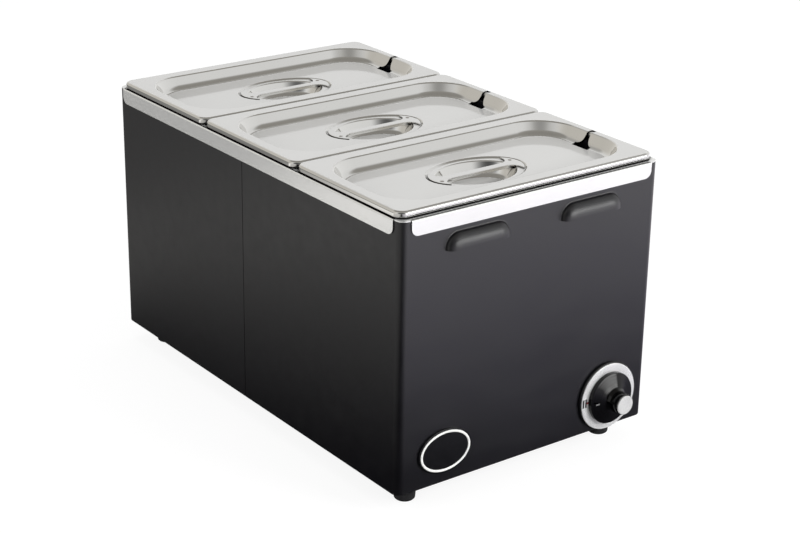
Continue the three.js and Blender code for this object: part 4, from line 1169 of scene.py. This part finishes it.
def add_badge():
    face = facing(-1, BADGE_X, BADGE_Z)
    shape = Outline(BADGE_LENGTH / 2, BADGE_HEIGHT / 2, oval=True)
    front = CLEAR + BADGE_THICKNESS
    section = [
        (0, CLEAR),
        (0, front - BADGE_BEVEL),
        (-0.3 * BADGE_BEVEL, front - 0.3 * BADGE_BEVEL),
        (-BADGE_BEVEL, front),
    ]
    plate = capped([ring_points(shape, spread, z, BADGE_POINTS) for spread, z in section])
    drawn("badge", solid("badge", moved(plate, face)), "casing", "badge_black", "badge_plate")

    margin = BADGE_BEVEL + BADGE_RING_MARGIN + BADGE_RING_WIDTH / 2
    low = front + CLEAR / 2
    half = BADGE_RING_WIDTH / 2
    angles = [math.pi * step / BADGE_RING_STEPS for step in range(BADGE_RING_STEPS + 1)]
    section = [(half * math.cos(a), low + BADGE_RING_THICKNESS * math.sin(a)) for a in angles]
    rings = [ring_points(shape, spread - margin, z, BADGE_POINTS) for spread, z in section]
    ring = moved(loft(rings, closed_section=True), face)
    drawn("badge_border", solid("badge_border", ring), "casing", "badge_white", "badge_ring")


# Feet and gland


def add_feet():
    top = low_high("foot_1")[1].z
    mesh = solid("foot", lathe(rounded([
        (FOOT_BORE, top, 0),
        (FOOT_TOP_RADIUS, top, FOOT_TOP_BEND),
        (FOOT_TOP_RADIUS, top - FOOT_CHAMFER, FOOT_SHOULDER_BEND),
        (FOOT_RADIUS, FOOT_CHAMFER, FOOT_TOE_BEND),
        (FOOT_RADIUS - FOOT_CHAMFER, 0, FOOT_SOLE_BEND),
        (FOOT_RECESS, 0, FOOT_RECESS_BEND),
        (FOOT_RECESS, FOOT_RECESS_DEPTH, 0),
        (FOOT_BORE, FOOT_RECESS_DEPTH, 0),
    ]), FOOT_SIDES))
    for i in range(1, 5):
        low, high = low_high(f"foot_{i}")
        at = ((low.x + high.x) / 2, (low.y + high.y) / 2, 0)
        drawn(f"foot_moulded_{i}", mesh, "casing", "foot_rubber", f"foot_{i}", at)


def add_gland():
    collar = CLEAR + GLAND_COLLAR_LENGTH
    tip = collar + GLAND_DOME_LENGTH
    profile = lathe(rounded([
        (GLAND_BORE, -WRAP_SHEET - GLAND_INNER_LENGTH, 0),
        (GLAND_THREAD, -WRAP_SHEET - GLAND_INNER_LENGTH, GLAND_THREAD_BEND),
        (GLAND_THREAD, CLEAR, 0),
        (GLAND_COLLAR, CLEAR, GLAND_SEAT_BEND),
        (GLAND_COLLAR, collar, GLAND_COLLAR_BEND),
        (GLAND_DOME, collar, GLAND_NECK_BEND),
        (GLAND_DOME_TIP, tip, GLAND_DOME_BEND),
        (GLAND_BORE, tip, GLAND_MOUTH_BEND),
    ]), GLAND_SIDES)
    mesh = solid("gland", moved(profile, facing(1, GLAND_X, GLAND_Z)))
    drawn("gland_moulded", mesh, "casing", "gland_black", "cable_gland")


def dress_frame():
    """The nodes that stay as the frame has them get their slot's material."""
    slots = {row["node"]: row["material_slot"] for row in frame["record"]["subparts"]}
    for node, thing in frame["nodes"].items():
        for held in thing.material_slots:
            held.material = LOOKS[slots[node]]


# Studio


def add_camera():
    azimuth, elevation, roll = map(math.radians, (CAMERA_AZIMUTH, CAMERA_ELEVATION, CAMERA_ROLL))
    level = Vector((math.cos(azimuth), math.sin(azimuth), 0))
    back = Vector((math.sin(azimuth) * math.cos(elevation),
                   -math.cos(azimuth) * math.cos(elevation),
                   math.sin(elevation)))
    rise = back.cross(level)
    right = level * math.cos(roll) + rise * math.sin(roll)
    up = -level * math.sin(roll) + rise * math.cos(roll)
    data = bpy.data.cameras.new("camera")
    data.lens = CAMERA_LENS
    camera = placed("camera", data)
    camera.matrix_world = standing(CAMERA_PLACE, right, up, back)
    bpy.context.scene.camera = camera


def grey_ramp(tree, value, stops):
    """Brightness that goes through (position, level) stops."""
    node = tree.nodes.new("ShaderNodeValToRGB")
    ramp = node.color_ramp
    while len(ramp.elements) < len(stops):
        ramp.elements.new(0.5)
    for element, (position, level) in zip(ramp.elements, stops):
        element.position = position
        element.color = (level, level, level, 1)
    tree.links.new(value, node.inputs["Fac"])
    return node.outputs["Color"]


def emission(tree, strength):
    glow = tree.nodes.new("ShaderNodeEmission")
    feed(tree, strength, glow.inputs["Strength"])
    return glow.outputs[0]


def ray_kinds(tree):
    """Shares that are 1 for rays straight from the camera, and for glossy ones."""
    path = tree.nodes.new("ShaderNodeLightPath").outputs
    seen = math_node(tree, "MAXIMUM", path["Is Camera Ray"], path["Is Transmission Ray"])
    return seen, path["Is Glossy Ray"]


def mixed(tree, share, first, second):
    blend = tree.nodes.new("ShaderNodeMixShader")
    tree.links.new(share, blend.inputs["Fac"])
    tree.links.new(first, blend.inputs[1])
    tree.links.new(second, blend.inputs[2])
    return blend.outputs[0]


def floor_glow(tree):
    """Floor for shiny parts: a painted shadow near the object, darker along the viewing line and at the
    left.
    """
    place = tree.nodes.new("ShaderNodeNewGeometry").outputs["Position"]
    reaches = []
    for way, half in (((1, 0, 0), TRIM_WIDTH / 2), ((0, 1, 0), TRIM_LENGTH / 2)):
        reach = math_node(tree, "ABSOLUTE", along(tree, place, way), 0)
        reaches.append(math_node(tree, "SUBTRACT", reach, half * MM))
    away = math_node(tree, "MAXIMUM", *reaches)
    aside = along(tree, place, ACROSS_VIEW)
    near_line = eased(tree, math_node(tree, "ABSOLUTE", aside, 0), *GLOW_VIEWING_LINE)
    back = along(tree, place, (0, 1, 0))
    far_back = eased(tree, back, *GLOW_FAR_BACK)
    rightwards = math_node(tree, "ADD", along(tree, place, (1, 0, 0)), GLOW_LEFT_SHIFT)
    left = eased(tree, math_node(tree, "MAXIMUM", back, rightwards), *GLOW_LEFT)
    # painted shadow: the glow is dark close to the object
    glow = emission(tree, product(tree, grey_ramp(tree, away, GLOW_STOPS), near_line, far_back, left))
    cool = product(tree, eased(tree, aside, *COOL_ASIDE), eased(tree, away, *COOL_AWAY))
    tint_of(tree, glow, cool, GLOW_WARM, GLOW_COOL)
    return glow


def tint_of(tree, glow, share, first, second):
    """Colours an emission from the first tint to the second."""
    tint = tree.nodes.new("ShaderNodeMixRGB")
    tint.inputs[1].default_value = (*first, 1)
    tint.inputs[2].default_value = (*second, 1)
    tree.links.new(share, tint.inputs["Fac"])
    tree.links.new(tint.outputs["Color"], glow.node.inputs["Color"])


def add_floor():
    mesh = bpy.data.meshes.new("floor")
    corners = [(x * FLOOR_SIZE / 2, y * FLOOR_SIZE / 2, 0) for x, y in SQUARE]
    mesh.from_pydata(corners, [], [(0, 1, 2, 3)])
    floor = placed("floor", mesh)
    look = Look((0.8, 0.8, 0.8), 0, 0.9)
    look.shader.inputs["Specular IOR Level"].default_value = 0.1
    tree = look.tree
    seen, glossy = ray_kinds(tree)
    white_share = product(tree, seen, FLOOR_WHITE_SHARE)
    surface = mixed(tree, white_share, look.shader.outputs[0], emission(tree, FLOOR_WHITE))
    surface = mixed(tree, glossy, surface, floor_glow(tree))
    tree.links.new(surface, tree.nodes["Material Output"].inputs["Surface"])
    mesh.materials.append(look.material)


def add_world():
    """Even light for matt parts, and a graded room for shiny ones, behind a white backdrop."""
    world = bpy.data.worlds.new("studio")
    bpy.context.scene.world = world
    world.use_nodes = True
    tree = world.node_tree
    ambient = tree.nodes["Background"]
    ambient.inputs["Color"].default_value = (1, 1, 1, 1)
    ambient.inputs["Strength"].default_value = AMBIENT
    way = tree.nodes.new("ShaderNodeTexCoord").outputs["Generated"]
    height = along(tree, way, (0, 0, 1))
    left_back = along(tree, way, LEFT_BACK)
    room = product(
        tree,
        grey_ramp(tree, height, SKY_STOPS),
        eased(tree, along(tree, way, CAMERA_SIDE), *SKY_CAMERA_SIDE),
        eased(tree, left_back, *SKY_LEFT_BACK),
    )
    sideways = math_node(tree, "ABSOLUTE", along(tree, way, (-SOFTBOX_WAY.y, SOFTBOX_WAY.x, 0)), 0)
    outside = SOFTBOX_HALF_WIDTH + SOFTBOX_EDGE
    softbox = product(
        tree,
        eased(tree, sideways, SOFTBOX_HALF_WIDTH, outside, SOFTBOX_GAIN, 0),
        eased(tree, height, SOFTBOX_TOP, SOFTBOX_TOP + SOFTBOX_EDGE, 1, 0),
        eased(tree, along(tree, way, SOFTBOX_WAY), 0, SOFTBOX_EDGE, 0, 1),
    )
    seen, glossy = ray_kinds(tree)
    surface = mixed(tree, seen, ambient.outputs[0], emission(tree, 1))
    shiny = emission(tree, math_node(tree, "ADD", room, softbox))
    above = eased(tree, height, *WARM_ABOVE)
    warm = math_node(tree, "MAXIMUM", above, eased(tree, left_back, *WARM_LEFT_BACK))
    tint_of(tree, shiny, warm, SKY_PLAIN, SKY_WARM)
    surface = mixed(tree, glossy, surface, shiny)
    tree.links.new(surface, tree.nodes["World Output"].inputs["Surface"])


def add_lamp(name, place, size, power):
    data = bpy.data.lights.new(name, "AREA")
    data.shape = "RECTANGLE"
    data.size, data.size_y = size
    data.energy = power
    lamp = placed(name, data)
    lamp.location = place
    lamp.visible_glossy = False
    aim = LAMP_AIM - Vector(place)
    lamp.rotation_mode = "QUATERNION"
    lamp.rotation_quaternion = aim.to_track_quat("-Z", "Y")


def add_studio():
    add_floor()
    add_world()
    for lamp in LAMPS:
        add_lamp(*lamp)
    bpy.context.scene.view_settings.view_transform = "Standard"


dress_frame()
add_wraps()
add_tank()
add_pans_and_lids()
add_dial()
add_badge()
add_feet()
add_gland()
add_studio()
add_camera()
